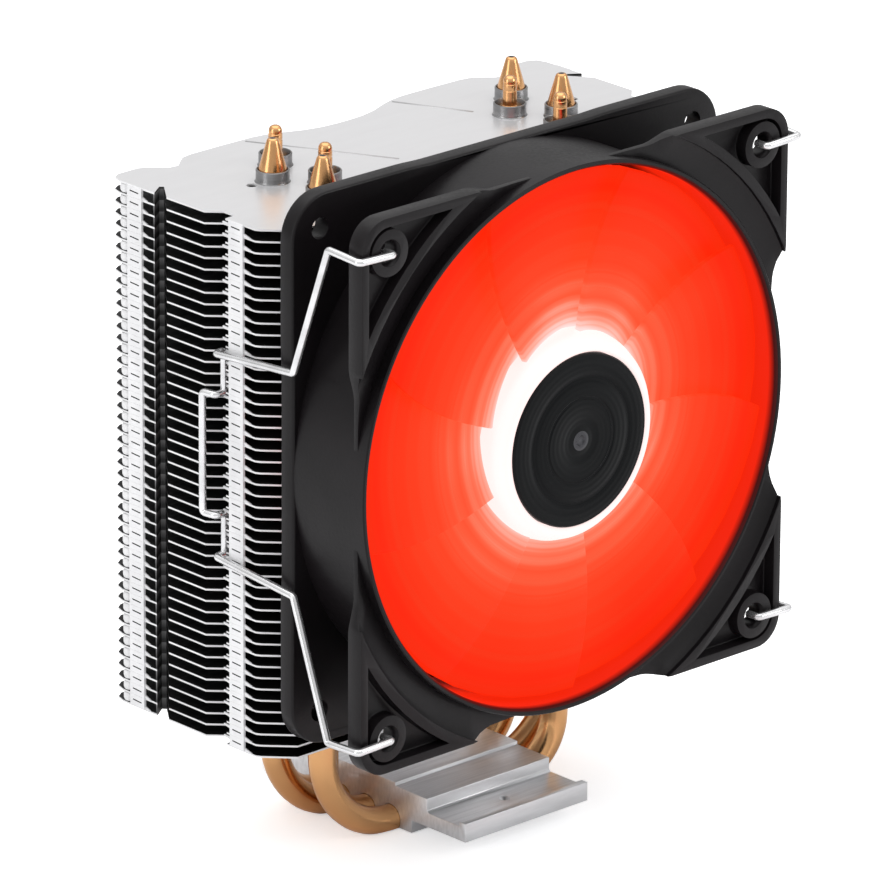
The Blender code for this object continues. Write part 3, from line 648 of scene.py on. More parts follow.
def laminations(colours):
    made = Finish("stacked laminations", metallic=1.0)
    layers = node(made.tree, "ShaderNodeTexWave", [
        ("Vector", made.place), ("Scale", 320.0), ("Distortion", 0.2)], bands_direction="Y")
    made.blend("Base Color", (0.42, 0.42, 0.44), (0.16, 0.16, 0.17), layers.outputs["Fac"])
    made.level("Roughness", 0.4)
    made.bump(layers.outputs["Fac"], 0.06 * MM)
    return made


def solder_resist(colours):
    made = Finish("board")
    spots = node(made.tree, "ShaderNodeTexVoronoi", [
        ("Vector", made.place), ("Scale", 420.0)])
    made.blend("Base Color", (0.5, 0.42, 0.2), (0.01, 0.09, 0.035), spots.outputs["Distance"],
               0.08, 0.14)
    made.grain((1.0, 1.0, 1.0), 500.0, (0.2, 0.3), 0.01 * MM)
    return made


def bonded_magnet(colours):
    made = Finish("bonded magnet")
    shade = made.grain((1.0, 1.0, 1.0), 1800.0, (0.55, 0.75), 0.03 * MM)
    made.blend("Base Color", (0.04, 0.04, 0.042), (0.02, 0.02, 0.02), shade)
    return made


def led_lens(colours):
    made = Finish("led lens")
    shade = made.grain((1.0, 1.0, 1.0), 400.0, (0.1, 0.2), 0.01 * MM)
    made.blend("Emission Color", (1.0, 0.3, 0.22), (1.0, 0.12, 0.06), shade)
    made.level("Emission Strength", 6.0)
    made.level("Base Color", (0.9, 0.3, 0.25, 1.0))
    return made


# Each plain finish: metallic, stretch of its grain, fineness, roughness, depth in millimetres,
# colour, and the shares of that colour between which the grain runs.
MAKERS = {
    "rolled_sheet": grained("rolled fin sheet", 0.65, (1.0, 5.0, 1.0), 260.0, (0.28, 0.34),
                            0.0002, "sheet", (1.0, 0.97)),
    # Pressed lines on the top fin: the sheet darkened as painted shade along the ridges.
    "pressed_line": grained("pressed line", 0.5, (1.0, 1.0, 1.0), 500.0, (0.35, 0.45),
                            0.001, "sheet", (0.66, 0.55)),
    # Flats between stacked fins: the sheet painted almost black as the shade between them.
    "painted_shade_sheet": grained("shaded fin sheet", 0.8, (1.0, 14.0, 1.0), 260.0, (0.45, 0.6),
                           0.004, "sheet", (0.03, 0.012)),
    "sheared_edge": grained("sheared fin edge", 0.1, (1.0, 1.0, 6.0), 1500.0, (0.35, 0.55),
                            0.01, "cut_edge", (1.0, 0.85)),
    "folded_tab": grained("folded fin tab", 0.1, (1.0, 3.0, 1.0), 700.0, (0.3, 0.5),
                          0.008, "cut_edge", (1.0, 0.88)),
    "collar_sheet": grained("drawn collar", 0.9, (1.0, 1.0, 9.0), 500.0, (0.25, 0.4),
                            0.008, "sheet", (0.42, 0.25)),
    "fold_shadow": grained("inside of a fold", 0.3, (1.0, 1.0, 5.0), 700.0, (0.4, 0.6),
                           0.01, "sheet", (0.07, 0.03)),
    "polished_copper": grained("polished copper", 1.0, (2.0, 2.0, 2.0), 500.0, (0.2, 0.27),
                               0.0005, "copper", (1.0, 0.88), (0.2, 0.8)),
    "milled_base": grained("milled base", 0.75, (1.5, 30.0, 12.0), 240.0, (0.28, 0.45),
                           0.008, "base", (1.0, 0.86)),
    "spring_wire": grained("spring wire", 0.85, (4.0, 4.0, 4.0), 300.0, (0.14, 0.26),
                           0.004, "wire", (1.0, 0.8)),
    "pressed_steel": grained("pressed steel", 1.0, (1, 1, 6), 500.0, (0.25, 0.45),
                             0.01, (0.55, 0.55, 0.56), (1.0, 0.75)),
    "bronze": grained("sintered bronze", 1.0, (2, 2, 2), 500.0, (0.4, 0.6),
                      0.01, (0.66, 0.43, 0.19), (1.0, 0.75)),
    "notch_shade": notch_shade, "lit_bore": lit_bore, "frame_plastic": frame_plastic,
    "lit_blade": lit_blade, "lit_ring": lit_ring, "turned_cap": turned_cap,
    "cap_centre": cap_centre, "winding": winding, "laminations": laminations,
    "solder_resist": solder_resist, "bonded_magnet": bonded_magnet, "led_lens": led_lens,
}


def paint(obj, *names):
    """Gives a piece its finishes; the first one covers it all."""
    obj.data.materials.clear()
    for name in names:
        obj.data.materials.append(finish(name))
    for face in obj.data.polygons:
        face.material_index = 0
    return obj


def paint_faces(obj, index, test):
    for face in obj.data.polygons:
        if test(face):
            face.material_index = index


# ---- Heat sink ----------------------------------------------------------------------------
FRONT_EDGE = 25.5 * MM          # depths behind the fan's face
SIDE = FIN_HALF
# Slanted slot in each side: front of its mouth, its two inner corners, back of its mouth.
NOTCH = ((SIDE, 59.2 * MM), (SIDE - 4.0 * MM, 64.6 * MM), (SIDE - 3.3 * MM, 65.3 * MM),
         (SIDE, 63.0 * MM))
SLIT_SLANT = -3.0
TAB_COLUMNS = ((35.3 * MM, 39.7 * MM), (66.7 * MM, 71.2 * MM))


def pipe_spots():
    """Centre and reach of each pipe, read from its CAD node: y, pinched x and swaged x."""
    spots = []
    for i in range(4):
        low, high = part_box("heat_pipe_%d" % (i + 1))
        radius = bpy.context.scene.cooler_sizes.pipe_radius
        left, right = low.x + radius, high.x - radius
        pinched, swaged = (left, right) if i % 2 == 0 else (right, left)
        spots.append(((low.y + high.y) / 2, pinched, swaged))
    return spots


def side_line(wavy):
    """Right half of a fin's outline, from the front edge to the back, as (x, y)."""
    groove = SIDE - 2.8 * MM
    line = [(SIDE - 5.9 * MM, FRONT_EDGE), (SIDE - 0.6 * MM, FRONT_EDGE + 5.4 * MM),
            (SIDE, FRONT_EDGE + 6.4 * MM), (SIDE, 41.0 * MM), (groove, 41.1 * MM),
            (groove, 44.7 * MM), (SIDE, 47.5 * MM), *NOTCH]
    rear = TOP_HIGH.y - FAN_FRONT
    line += [(SIDE, rear - 3.6 * MM), (SIDE - 0.7 * MM, rear - 1.3 * MM),
             (SIDE - 2.4 * MM, rear - 0.2 * MM)]
    if wavy:
        line += wave_line(rear)
    else:
        line += [(SIDE - 8.0 * MM, rear - 0.1 * MM), (SIDE - 14.0 * MM, rear - 4.4 * MM),
                 (SIDE - 20.0 * MM, rear - 0.5 * MM), (SIDE - 40.0 * MM, rear - 0.5 * MM),
                 (SIDE - 54.0 * MM, rear - 4.8 * MM)]
    return line


def wave_line(rear):
    """The gentle waves along a fin's back edge, corner to middle."""
    dips = ((7.6, 0.1), (9.5, 0.7), (11.5, 2.6), (13.4, 4.2), (15.4, 4.3), (17.6, 2.4),
            (19.6, 0.9), (22.4, 0.4), (31.0, 0.3), (39.0, 0.4), (42.6, 0.9), (46.4, 2.2),
            (50.4, 3.9), (54.6, 4.9), (58.6, 5.2))
    return [(SIDE - x * MM, rear - dip * MM) for x, dip in dips]


def fin_sheet(name, z, wavy):
    """One fin: its outline drawn point by point and drawn out to the sheet's thickness."""
    right = side_line(wavy)
    outline = right + [(-x, depth) for x, depth in reversed(right)]
    points = [behind_face(x, depth, z) for x, depth in outline]
    sheet = traced(name, points, (0.0, 0.0, FIN_THICKNESS))
    radius = bpy.context.scene.cooler_sizes.pipe_radius + FIN_HOLE_GAP
    for y, pinched, swaged in pipe_spots():
        for x in (pinched, swaged):
            carve(sheet, rod("pipe_hole", radius, -1.0 * MM, 1.0 * MM + FIN_THICKNESS, 20,
                             Vector((x, y, z)), upright=True))
    return sheet


SHEET_FINISHES = ("sheared_edge", "folded_tab", "fold_shadow", "notch_shade")
EDGE, TAB, SHADOW, NOTCH_WALL, BRIGHT = range(1, 6)     # their places after a sheet's flat one
FIN_HOLE_GAP = 0.25 * MM
FOLD_WALL = 0.3 * MM
TAB_DEPTH = 0.4 * MM                                    # how far a tab stands out of the side


def tab_shape(side, start, stop, z):
    """A folded tab between two fins, with the slanted slit pressed into it."""
    inner = side * (SIDE - 0.15 * MM)
    outer = side * (SIDE + TAB_DEPTH)
    low = (min(inner, outer), FAN_FRONT + start, z)
    high = (max(inner, outer), FAN_FRONT + stop, z + FIN_PITCH - 0.03 * MM)
    tab = block("folded_tab", low, high)
    pick(tab, "FACE", lambda face: face.normal.x * side > 0.9)
    bpy.ops.mesh.inset(thickness=0.5 * MM, depth=0.0)
    middle = (outer, FAN_FRONT + (start + stop) / 2, z + FIN_PITCH * 0.52)
    bpy.ops.transform.resize(value=(1.0, 0.78, 0.19), center_override=middle)
    bpy.ops.transform.rotate(value=math.radians(SLIT_SLANT), orient_axis="X",
                             center_override=middle)
    bpy.ops.mesh.extrude_region_move(TRANSFORM_OT_translate=slide((-side * 0.3 * MM, 0, 0)))
    stop_editing()
    paint_fold(tab, TAB)
    # The slit's inner faces are painted near black as shade.
    half = FIN_PITCH * 0.3
    paint_faces(tab, SHADOW, lambda face: abs(face.center.z - middle[2]) < half
                and abs(face.center.y - middle[1]) < (stop - start) * 0.45
                and (face.center.x - middle[0]) * side < -0.1 * MM)
    return tab


def web(name, x, points):
    """A thin upright fold across the side, drawn as (depth, height) at one x."""
    outline = [behind_face(x - FOLD_WALL / 2, depth, z) for depth, z in points]
    return paint_fold(traced(name, outline, (FOLD_WALL, 0.0, 0.0)), TAB)


def paint_fold(piece, index):
    """Every folded piece carries the sheet's finishes; index says which one it shows."""
    paint(piece, "painted_shade_sheet", *SHEET_FINISHES)
    paint_faces(piece, index, lambda face: True)
    return piece


def fold_details(side, z):
    """Everything folded at one side of a fin: tabs, knob, webs and the notch's walls."""
    made = [tab_shape(side, start, stop, z) for start, stop in TAB_COLUMNS]
    height = FIN_PITCH - FIN_THICKNESS
    knob = rod("rounded_knob", 1.75 * MM, 0.0, height, 16,
               behind_face(side * (SIDE - 1.6 * MM), 72.9 * MM, z), upright=True)
    soften(knob, 0.6 * MM, 2)
    made.append(paint_fold(knob, TAB))
    x = side * (SIDE - 0.1 * MM)
    for (start, _), reach in zip(TAB_COLUMNS, (2.2 * MM, 1.6 * MM)):
        start += 0.1 * MM
        made.append(web("gusset", x, [(start, z), (start - reach, z), (start, z + 0.6 * MM)]))
    front, back = 39.8 * MM, 43.0 * MM
    made.append(web("tongue", x - side * 1.0 * MM, [
        (front, z + 0.2 * MM), (back, z + 0.9 * MM), (back, z + 1.2 * MM), (front, z + 1.1 * MM)]))
    for (x1, y1), (x2, y2) in zip(NOTCH[1:], NOTCH[2:]):
        points = [(x1, y1), (x2, y2), (x2, y2 + 0.35 * MM), (x1, y1 + 0.35 * MM)]
        wall = traced("notch_wall", [behind_face(side * px, py, z) for px, py in points],
                      (0.0, 0.0, height))
        # The notch's walls are painted dark as shade.
        made.append(paint_fold(wall, NOTCH_WALL))
    return made


def paint_sheet(sheet, flat):
    """Flats in painted shade or own colour, bright sheared edges, painted shade on edges in the
    notches.
    """
    paint(sheet, flat, *SHEET_FINISHES)
    paint_faces(sheet, EDGE, lambda face: abs(face.normal.z) < 0.5)
    # Sheet edges inside the notches get the same painted shade as the walls.
    paint_faces(sheet, NOTCH_WALL, lambda face: abs(face.normal.z) < 0.5
                and abs(face.center.x) < SIDE - 0.5 * MM and abs(face.center.x) > SIDE - 4.5 * MM
                and 60.0 * MM < face.center.y - FAN_FRONT < 66.0 * MM)


def build_fin_pairs():
    low = PAIR_LOW.z
    pair = fin_sheet("fin_pair_sheets_01", low, False)
    # The stacked fins' flats are painted dark as the shade between the fins.
    paint_sheet(pair, "painted_shade_sheet")
    upper = raised_copy(pair, "upper_sheet", (0.0, 0.0, FIN_PITCH))
    right = fold_details(1.0, low + FIN_THICKNESS)
    left = fold_details(-1.0, low + FIN_THICKNESS)
    above = [raised_copy(piece, "upper_fold", (0.0, 0.0, FIN_PITCH)) for piece in right + left]
    gather(pair, upper, *right, *left, *above)
    pair.name = "fin_sheets_01"
    for i in range(1, PAIR_COUNT):
        copy = raised_copy(pair, "fin_sheets_%02d" % (i + 1), (0.0, 0.0, 2 * FIN_PITCH * i))
        mount_piece(copy, "cooler", "fin_aluminium", "fin_pair_%02d" % (i + 1))
    # The lowest fin's underside is open below, so it keeps the sheet's own colour instead of painted
    # shade.
    pair.data.materials.append(finish("rolled_sheet"))
    paint_faces(pair, BRIGHT, lambda face: face.normal.z < -0.9 and face.center.z < low + 0.1 * MM)
    mount_piece(pair, "cooler", "fin_aluminium", "fin_pair_01")


def build_top_fin():
    sizes = bpy.context.scene.cooler_sizes
    top = fin_sheet("top_fin_sheet", TOP_LOW.z, True)
    z = TOP_LOW.z
    for x, depth in ((-42.3, 53.3), (46.7, 51.5)):
        carve(top, rod("sheet_hole", 1.15 * MM, -1.0 * MM, 1.0 * MM, 20,
                       behind_face(x * MM, depth * MM, z), upright=True))
    paint_sheet(top, "rolled_sheet")
    embossed = []
    for start, stop in (((-24.0, 76.0), (-8.0, 46.0)), ((17.0, 75.5), (25.0, 59.0))):
        first = behind_face(start[0] * MM, start[1] * MM, TOP_HIGH.z - 0.03 * MM)
        last = behind_face(stop[0] * MM, stop[1] * MM, TOP_HIGH.z - 0.03 * MM)
        ridge = bent_bar("embossed_line", [first, last], 0.42 * MM, 2)
        pick(ridge, "VERT", lambda vertex: True)
        bpy.ops.transform.resize(value=(1.0, 1.0, 0.3),
                                 center_override=(0.0, 0.0, TOP_HIGH.z - 0.03 * MM))
        stop_editing()
        # The ridges are painted grey as their shade.
        embossed.append(paint(ridge, "pressed_line"))
    gather(top, *embossed)
    mount_piece(top, "cooler", "fin_aluminium", "top_fin")
    inner = sizes.pipe_radius + 0.12 * MM
    outer = inner + 0.4 * MM
    rise = sizes.collar_height
    profile = [(outer + 0.25 * MM, 0.0), (outer + 0.06 * MM, 0.2 * MM), (outer, 0.5 * MM),
               (outer, rise - 0.15 * MM), (outer - 0.12 * MM, rise),
               (inner + 0.1 * MM, rise), (inner, rise - 0.15 * MM), (inner, 0.0)]
    first = None
    for i, (y, pinched, swaged) in enumerate(pipe_spots()):
        for x, end in ((pinched, "pinched"), (swaged, "swaged")):
            name = "pipe_collar_%d_%s" % (i + 1, end)
            place = Vector((x, y, TOP_HIGH.z))
            if first is None:
                collar = turned(name, profile, 40, place, upright=True, closed=True)
                first = (smooth(paint(collar, "collar_sheet")), place)
            else:
                collar = raised_copy(first[0], name, place - first[1])
            mount_piece(collar, "cooler", "fin_aluminium")


PIPE_AXIS_Z = 1.7 * MM          # the pipes' runs, flattened by the contact face
CONE_RISE, STUB_RISE = 9.3 * MM, 8.6 * MM
MILLING_REACH = 60.0 * MM


def build_pipes():
    """Four U-shaped pipes: pinched end, leg, bend, flat base run, bend, leg, swaged end."""
    sizes = bpy.context.scene.cooler_sizes
    radius = sizes.pipe_radius
    foot = BASE_HIGH.x
    for i, (y, pinched, swaged) in enumerate(pipe_spots()):
        cone_z = TOP_HIGH.z + CONE_RISE
        stub_z = TOP_HIGH.z + STUB_RISE
        path, shares = nose(pinched, y, cone_z, PINCHED)
        corners = [path[-1], Vector((pinched, y, PIPE_AXIS_Z)), Vector((0.0, y, PIPE_AXIS_Z))]
        first = rounded_path(corners, abs(pinched) - foot, 16)[1:-1]
        corners = [Vector((0.0, y, PIPE_AXIS_Z)), Vector((swaged, y, PIPE_AXIS_Z)),
                   Vector((swaged, y, stub_z))]
        second = rounded_path(corners, abs(swaged) - foot, 16)[1:-1]
        back, back_shares = nose(swaged, y, stub_z, SWAGED)
        path += first + second + back[::-1]
        shares += [1.0] * (len(first) + len(second)) + back_shares[::-1]
        pipe = bent_bar("copper_pipe_%d" % (i + 1), path, radius, 8, shares)
        carve(pipe, block("milling", (-MILLING_REACH, y - 2 * radius, -2 * radius),
                          (MILLING_REACH, y + 2 * radius, 0.0)))
        paint(pipe, "polished_copper", "fold_shadow")
        paint_faces(pipe, 1, lambda face: face.center.z > cone_z - 0.02 * MM)
        smooth(pipe, 40.0)
        mount_piece(pipe, "cooler", "pipe_copper", "heat_pipe_%d" % (i + 1))


# Ends of the pipes from the tip down: millimetres below the tip and share of the radius.
PINCHED = ((0.0, 0.2), (0.06, 0.3), (0.22, 0.37), (0.5, 0.42), (0.9, 0.46), (2.8, 0.64),
           (4.8, 0.83), (6.5, 0.985), (7.0, 1.0))
SWAGED = ((0.0, 0.1), (0.08, 0.24), (0.3, 0.36), (0.7, 0.44), (1.2, 0.48), (1.45, 0.485),
          (1.55, 0.455), (1.75, 0.455), (1.85, 0.49), (2.9, 0.495), (3.0, 0.47), (3.2, 0.47),
          (3.3, 0.5), (6.4, 0.5), (7.2, 0.74), (8.0, 1.0))


def nose(x, y, tip, shape):
    """Points and radius shares of a pipe's end, from its tip down to the full pipe."""
    return ([Vector((x, y, tip - below * MM)) for below, _ in shape],
            [share for _, share in shape])


def build_base():
    """The extruded block: its outline along the pipes' run, grooves, dimples and soft edges."""
    pad, block_half, top_half = 18.05 * MM, 22.85 * MM, 12.95 * MM
    tip = BASE_HIGH.y
    under, wing, lip, shoulder = 2.9 * MM, 6.2 * MM, 7.2 * MM, 9.3 * MM
    lip_in = tip - 1.9 * MM
    half = [(pad, 0.0), (pad, under), (tip, under), (tip, lip), (lip_in, lip), (lip_in, wing),
            (block_half + 0.6 * MM, wing), (block_half, wing + 0.5 * MM),
            (block_half, shoulder), (top_half, shoulder), (top_half, BASE_HIGH.z)]
    outline = half + [(-y, z) for y, z in reversed(half)]
    points = [Vector((BASE_LOW.x, y, z)) for y, z in outline]
    base = traced("milled_base", points, (BASE_HIGH.x - BASE_LOW.x, 0.0, 0.0))
    soften(base, 0.22 * MM, 2)
    radius = bpy.context.scene.cooler_sizes.pipe_radius + 0.06 * MM
    for i, (y, _, _) in enumerate(pipe_spots()):
        bpy.ops.mesh.primitive_cylinder_add(vertices=40, radius=radius, depth=60.0 * MM,
                                            location=(0.0, y, PIPE_AXIS_Z),
                                            rotation=(0.0, math.radians(90.0), 0.0))
        carve(base, added("pipe_groove"))
    for side in (-1.0, 1.0):
        spot = Vector((0.0, side * (tip - 6.9 * MM), wing))
        carve(base, turned("dimple", [(0.3 * MM, -0.9 * MM), (1.2 * MM, 0.0),
                                      (1.7 * MM, 0.5 * MM)], 24, spot, upright=True))
    smooth(paint(base, "milled_base"))
    mount_piece(base, "cooler", "base_aluminium", "base_block")


# ---- Fan ----------------------------------------------------------------------------------
FLANGE = 4.0 * MM               # thickness of each flange
DUCT_ROOM = 58.7 * MM           # radius left for the duct in each flange
STRUT_TURN = -45.0              # the wide strut with the lead's notch, in degrees


def flange_line(corner, front, inset):
    """A flange's outline round the fan's axis: rounded corners and sides stepped in."""
    half, step = FAN_HALF, FAN_HALF - inset
    run_in, run_out = 21.5 * MM, 28.5 * MM
    centre = half - corner
    ease = 0.14 * inset
    quarter = [(step, run_in), (step + ease, run_in + 1.5 * MM),
               (half - ease, run_out - 1.5 * MM), (half, run_out)]
    for i in range(11):
        angle = math.radians(9.0 * i)
        quarter.append((centre + corner * math.cos(angle), centre + corner * math.sin(angle)))
    quarter += [(run_out, half), (run_out - 1.5 * MM, half - ease),
                (run_in + 1.5 * MM, step + ease), (run_in, step)]
    outline = []
    for turn in range(4):
        c, s = ((1, 0), (0, 1), (-1, 0), (0, -1))[turn]
        outline += [(c * x - s * z, s * x + c * z) for x, z in quarter]
    return [from_face(x, front, z) for x, z in outline]


def screw_spots():
    return [(x, z) for x in (-HOLE_REACH, HOLE_REACH) for z in (-HOLE_REACH, HOLE_REACH)]


def front_flange(sizes):
    """The front plate: moat round the rim, corner pockets, bosses and screw holes."""
    plate = traced("front_flange", flange_line(6.5 * MM, 0.0, 1.5 * MM), (0.0, FLANGE, 0.0))
    moat = turned("moat", [(sizes.moat_radius, -1.0 * MM), (sizes.moat_radius, 1.0 * MM),
                           (sizes.moat_radius - 1.6 * MM, 2.0 * MM), (60.6 * MM, 2.8 * MM),
                           (58.8 * MM, 2.9 * MM), (DUCT_ROOM, 5.0 * MM)], ROUND, AXIS)
    carve(plate, moat)
    wall = 1.9 * MM
    pocket = block("pocket", from_face(-FAN_HALF + wall, -1.0 * MM, -FAN_HALF + wall),
                   from_face(FAN_HALF - wall, sizes.pocket_depth, FAN_HALF - wall))
    pick(pocket, "EDGE", lambda edge: abs(
        pocket.data.vertices[edge.vertices[0]].co.y
        - pocket.data.vertices[edge.vertices[1]].co.y) > 1.0 * MM)
    bpy.ops.mesh.bevel(offset=5.2 * MM, segments=8)
    stop_editing()
    carve(pocket, rod("pocket_arc", sizes.pocket_radius, -3.0 * MM, 8.0 * MM, ROUND, AXIS))
    for x, z in screw_spots():
        carve(pocket, rod("boss", sizes.boss_radius, -3.0 * MM, 8.0 * MM, 32,
                          from_face(x, 0.0, z)))
    soften(pocket, 0.7 * MM, 2, 60.0)
    carve(plate, pocket)
    soften(plate, sizes.edge_round, 2)
    for x, z in screw_spots():
        profile = [(sizes.screw_hole + 0.7 * MM, -1.0 * MM), (sizes.screw_hole + 0.6 * MM, 0.1 * MM),
                   (sizes.screw_hole + 0.1 * MM, 0.7 * MM), (sizes.screw_hole, 1.2 * MM),
                   (sizes.screw_hole, 6.0 * MM)]
        carve(plate, turned("screw_hole", profile, 28, from_face(x, 0.0, z)))
    return plate


def back_flange(sizes):
    start = BACK_DEPTH - FLANGE
    plate = traced("back_flange", flange_line(9.5 * MM, start, 0.25 * MM), (0.0, FLANGE, 0.0))
    carve(plate, rod("duct_room", DUCT_ROOM, start - 1.0 * MM, BACK_DEPTH + 1.0 * MM, ROUND, AXIS))
    soften(plate, 0.6 * MM, 3)
    for x, z in screw_spots():
        carve(plate, rod("screw_hole", sizes.screw_hole, start - 1.0 * MM,
                         BACK_DEPTH + 1.0 * MM, 28, from_face(x, 0.0, z)))
    return plate


def duct(sizes):
    """The round duct with its free-standing rounded rim at the front."""
    inner, outer = sizes.bore_radius, sizes.bore_radius + sizes.rim_wall
    flare = inner + 0.5 * MM
    return turned("duct", [
        (flare, 0.25 * MM), (flare + 0.25 * MM, 0.02 * MM), (outer - 0.25 * MM, 0.0),
        (outer, 0.3 * MM), (outer, BACK_DEPTH - 0.3 * MM), (outer - 0.3 * MM, BACK_DEPTH),
        (inner + 0.5 * MM, BACK_DEPTH), (inner, BACK_DEPTH - 0.4 * MM), (inner, 2.4 * MM),
        (inner + 0.15 * MM, 1.0 * MM)], 128, AXIS, closed=True)


def motor_seat():
    """Struts, the round seat behind the motor and the tube that holds the bearing."""
    seat = turned("seat", [(22.2 * MM, BACK_DEPTH), (23.0 * MM, BACK_DEPTH - 0.5 * MM),
                           (23.0 * MM, BACK_DEPTH - 1.8 * MM), (22.6 * MM, BACK_DEPTH - 2.2 * MM)],
                  64, AXIS)
    for i in range(4):
        width = 3.5 * MM if i == 0 else 2.0 * MM
        strut = block("strut", from_face(20.0 * MM, BACK_DEPTH - 3.0 * MM, -width),
                      from_face(58.6 * MM, BACK_DEPTH - 0.1 * MM, width))
        soften(strut, 0.5 * MM, 2)
        angle = math.radians(90.0 * i + STRUT_TURN)
        turned_strut = spun_copy(strut, "strut", -angle, "Y", AXIS)
        bpy.data.objects.remove(strut)
        weld(seat, turned_strut)
    tube = turned("bearing_tube", [
        (4.5 * MM, 7.6 * MM), (4.5 * MM, BACK_DEPTH - 1.2 * MM),
        (3.3 * MM, BACK_DEPTH - 1.2 * MM), (3.3 * MM, 7.6 * MM)], 32, AXIS, closed=True)
    weld(seat, tube)
    return seat


def build_housing():
    sizes = bpy.context.scene.cooler_sizes
    housing = duct(sizes)
    front = front_flange(sizes)
    back = back_flange(sizes)
    seat = motor_seat()
    angle = math.radians(STRUT_TURN + 12.0)
    notch = block("lead_notch", from_face(54.0 * MM, BACK_DEPTH - 1.6 * MM, -1.3 * MM),
                  from_face(74.0 * MM, BACK_DEPTH + 1.0 * MM, 1.3 * MM))
    lead_notch = spun_copy(notch, "lead_notch", -angle, "Y", AXIS)
    bpy.data.objects.remove(notch)
    carve(back, lead_notch)
    gather(housing, front, back, seat)
    housing.name = "fan_housing"
    smooth(paint(housing, "frame_plastic", "lit_bore"))
    inside = sizes.bore_radius + 0.7 * MM
    paint_faces(housing, 1, lambda face: inside > math.hypot(
        face.center.x, face.center.z - AXIS_Z) > sizes.bore_radius - 1.0 * MM
        and abs(face.normal.y) < 0.8 and face.center.y > FAN_FRONT + 0.5 * MM)
    mount_piece(housing, "cooler", "frame_plastic", "fan_frame")


BLADE_COUNT = 9
BLADE_ROOT = 18.9 * MM
BLADE_TIP = 56.8 * MM
BLADE_HALF_TURN = 33.0         # wide enough to overlap its neighbours


def one_blade(sizes):
    """A twisted blade: its root drawn point by point, then drawn outwards ring by ring."""
    front, rear = 3.3 * MM, 9.6 * MM
    middle = (front + rear) / 2
    count = 9
    root = []
    for j in range(count):
        along = 2 * j / (count - 1) - 1
        angle = math.radians(BLADE_HALF_TURN) * along
        depth = middle + (rear - front) / 2 * along - 0.5 * MM * (1 - along * along)
        root.append(from_face(BLADE_ROOT * math.sin(angle), depth, BLADE_ROOT * math.cos(angle)))
    bpy.ops.mesh.primitive_plane_add(size=MM, location=(0.0, 0.0, 0.0))
    blade = added("blade")
    edit(blade)
    bpy.ops.mesh.merge(type="CENTER")
    bpy.ops.transform.translate(value=tuple(root[0]))
    for before, after in zip(root, root[1:]):
        bpy.ops.mesh.extrude_vertices_move(TRANSFORM_OT_translate=slide(after - before))
    bpy.ops.mesh.select_all(action="SELECT")
    steps = 10
    radius = BLADE_ROOT
    centre = tuple(from_face(0.0, middle, 0.0))
    for i in range(steps):
        after = BLADE_ROOT + (BLADE_TIP - BLADE_ROOT) * (i + 1) / steps
        share = after / radius
        bpy.ops.mesh.extrude_edges_move(TRANSFORM_OT_translate=slide((0.0, 0.0, 0.0)))
        bpy.ops.transform.resize(value=(share, 0.985, share), center_override=centre)
        bpy.ops.transform.rotate(value=math.radians(-0.3 - 0.16 * i), orient_axis="Y",
                                 center_override=centre)
        radius = after
    stop_editing()
    use_modifier(blade, "SOLIDIFY", thickness=sizes.blade_thickness, offset=0.0)
    soften(blade, 0.35 * MM, 2, 50.0)
    return outward(blade)


def build_rotor():
    sizes = bpy.context.scene.cooler_sizes
    hub = sizes.hub_radius
    wall = 1.6 * MM
    rear = 19.3 * MM
    cup = turned("rotor_hub", [
        (0.2 * MM, 2.75 * MM), (hub - 0.7 * MM, 2.75 * MM), (hub - 0.15 * MM, 2.95 * MM),
        (hub, 3.5 * MM), (hub, rear), (hub - wall, rear), (hub - wall, 2.7 * MM + wall),
        (0.2 * MM, 2.7 * MM + wall)], ROUND, AXIS)
    blade = one_blade(sizes)
    blades = [blade] + [spun_copy(blade, "blade", 2 * math.pi * i / BLADE_COUNT, "Y", AXIS)
                        for i in range(1, BLADE_COUNT)]
    gather(cup, *blades)
    cup.name = "rotor_blades"
    smooth(paint(cup, "lit_blade"), 40.0)
    mount_piece(cup, "rotor", "blade_plastic", "impeller")
    ring = turned("lit_hub_ring", [
        (18.95 * MM, -0.6 * MM), (19.4 * MM, -0.9 * MM), (20.4 * MM, -0.6 * MM),
        (21.6 * MM, 0.8 * MM), (22.5 * MM, 3.0 * MM), (22.8 * MM, 5.4 * MM),
        (hub + 0.02 * MM, 6.4 * MM), (hub + 0.02 * MM, 3.4 * MM), (18.95 * MM, 2.6 * MM)],
        ROUND, AXIS, closed=True)
    smooth(paint(ring, "lit_ring"), 50.0)
    mount_piece(ring, "rotor", "blade_plastic")
    front = -1.2 * MM
    low, lower = front + 0.13 * MM, front + 0.3 * MM
    cap = turned("turned_hub_cap", [
        (17.9 * MM, 2.4 * MM), (18.7 * MM, 2.3 * MM), (18.7 * MM, front + 0.55 * MM),
        (18.4 * MM, front + 0.15 * MM), (17.6 * MM, front), (14.2 * MM, front),
        (13.9 * MM, low), (13.4 * MM, low), (13.1 * MM, front), (9.6 * MM, front),
        (9.4 * MM, low), (9.0 * MM, low), (8.8 * MM, front), (4.6 * MM, front), (4.3 * MM, low),
        (2.4 * MM, low), (2.1 * MM, front), (1.2 * MM, front), (0.9 * MM, lower),
        (0.15 * MM, lower)], ROUND, AXIS)
    paint(cap, "turned_cap", "cap_centre")
    paint_faces(cap, 1, lambda face: math.hypot(
        face.center.x, face.center.z - AXIS_Z) < 2.2 * MM and face.center.y < FAN_FRONT)
    smooth(cap, 30.0)
    mount_piece(cap, "rotor", "cap_plastic", "hub_cap")


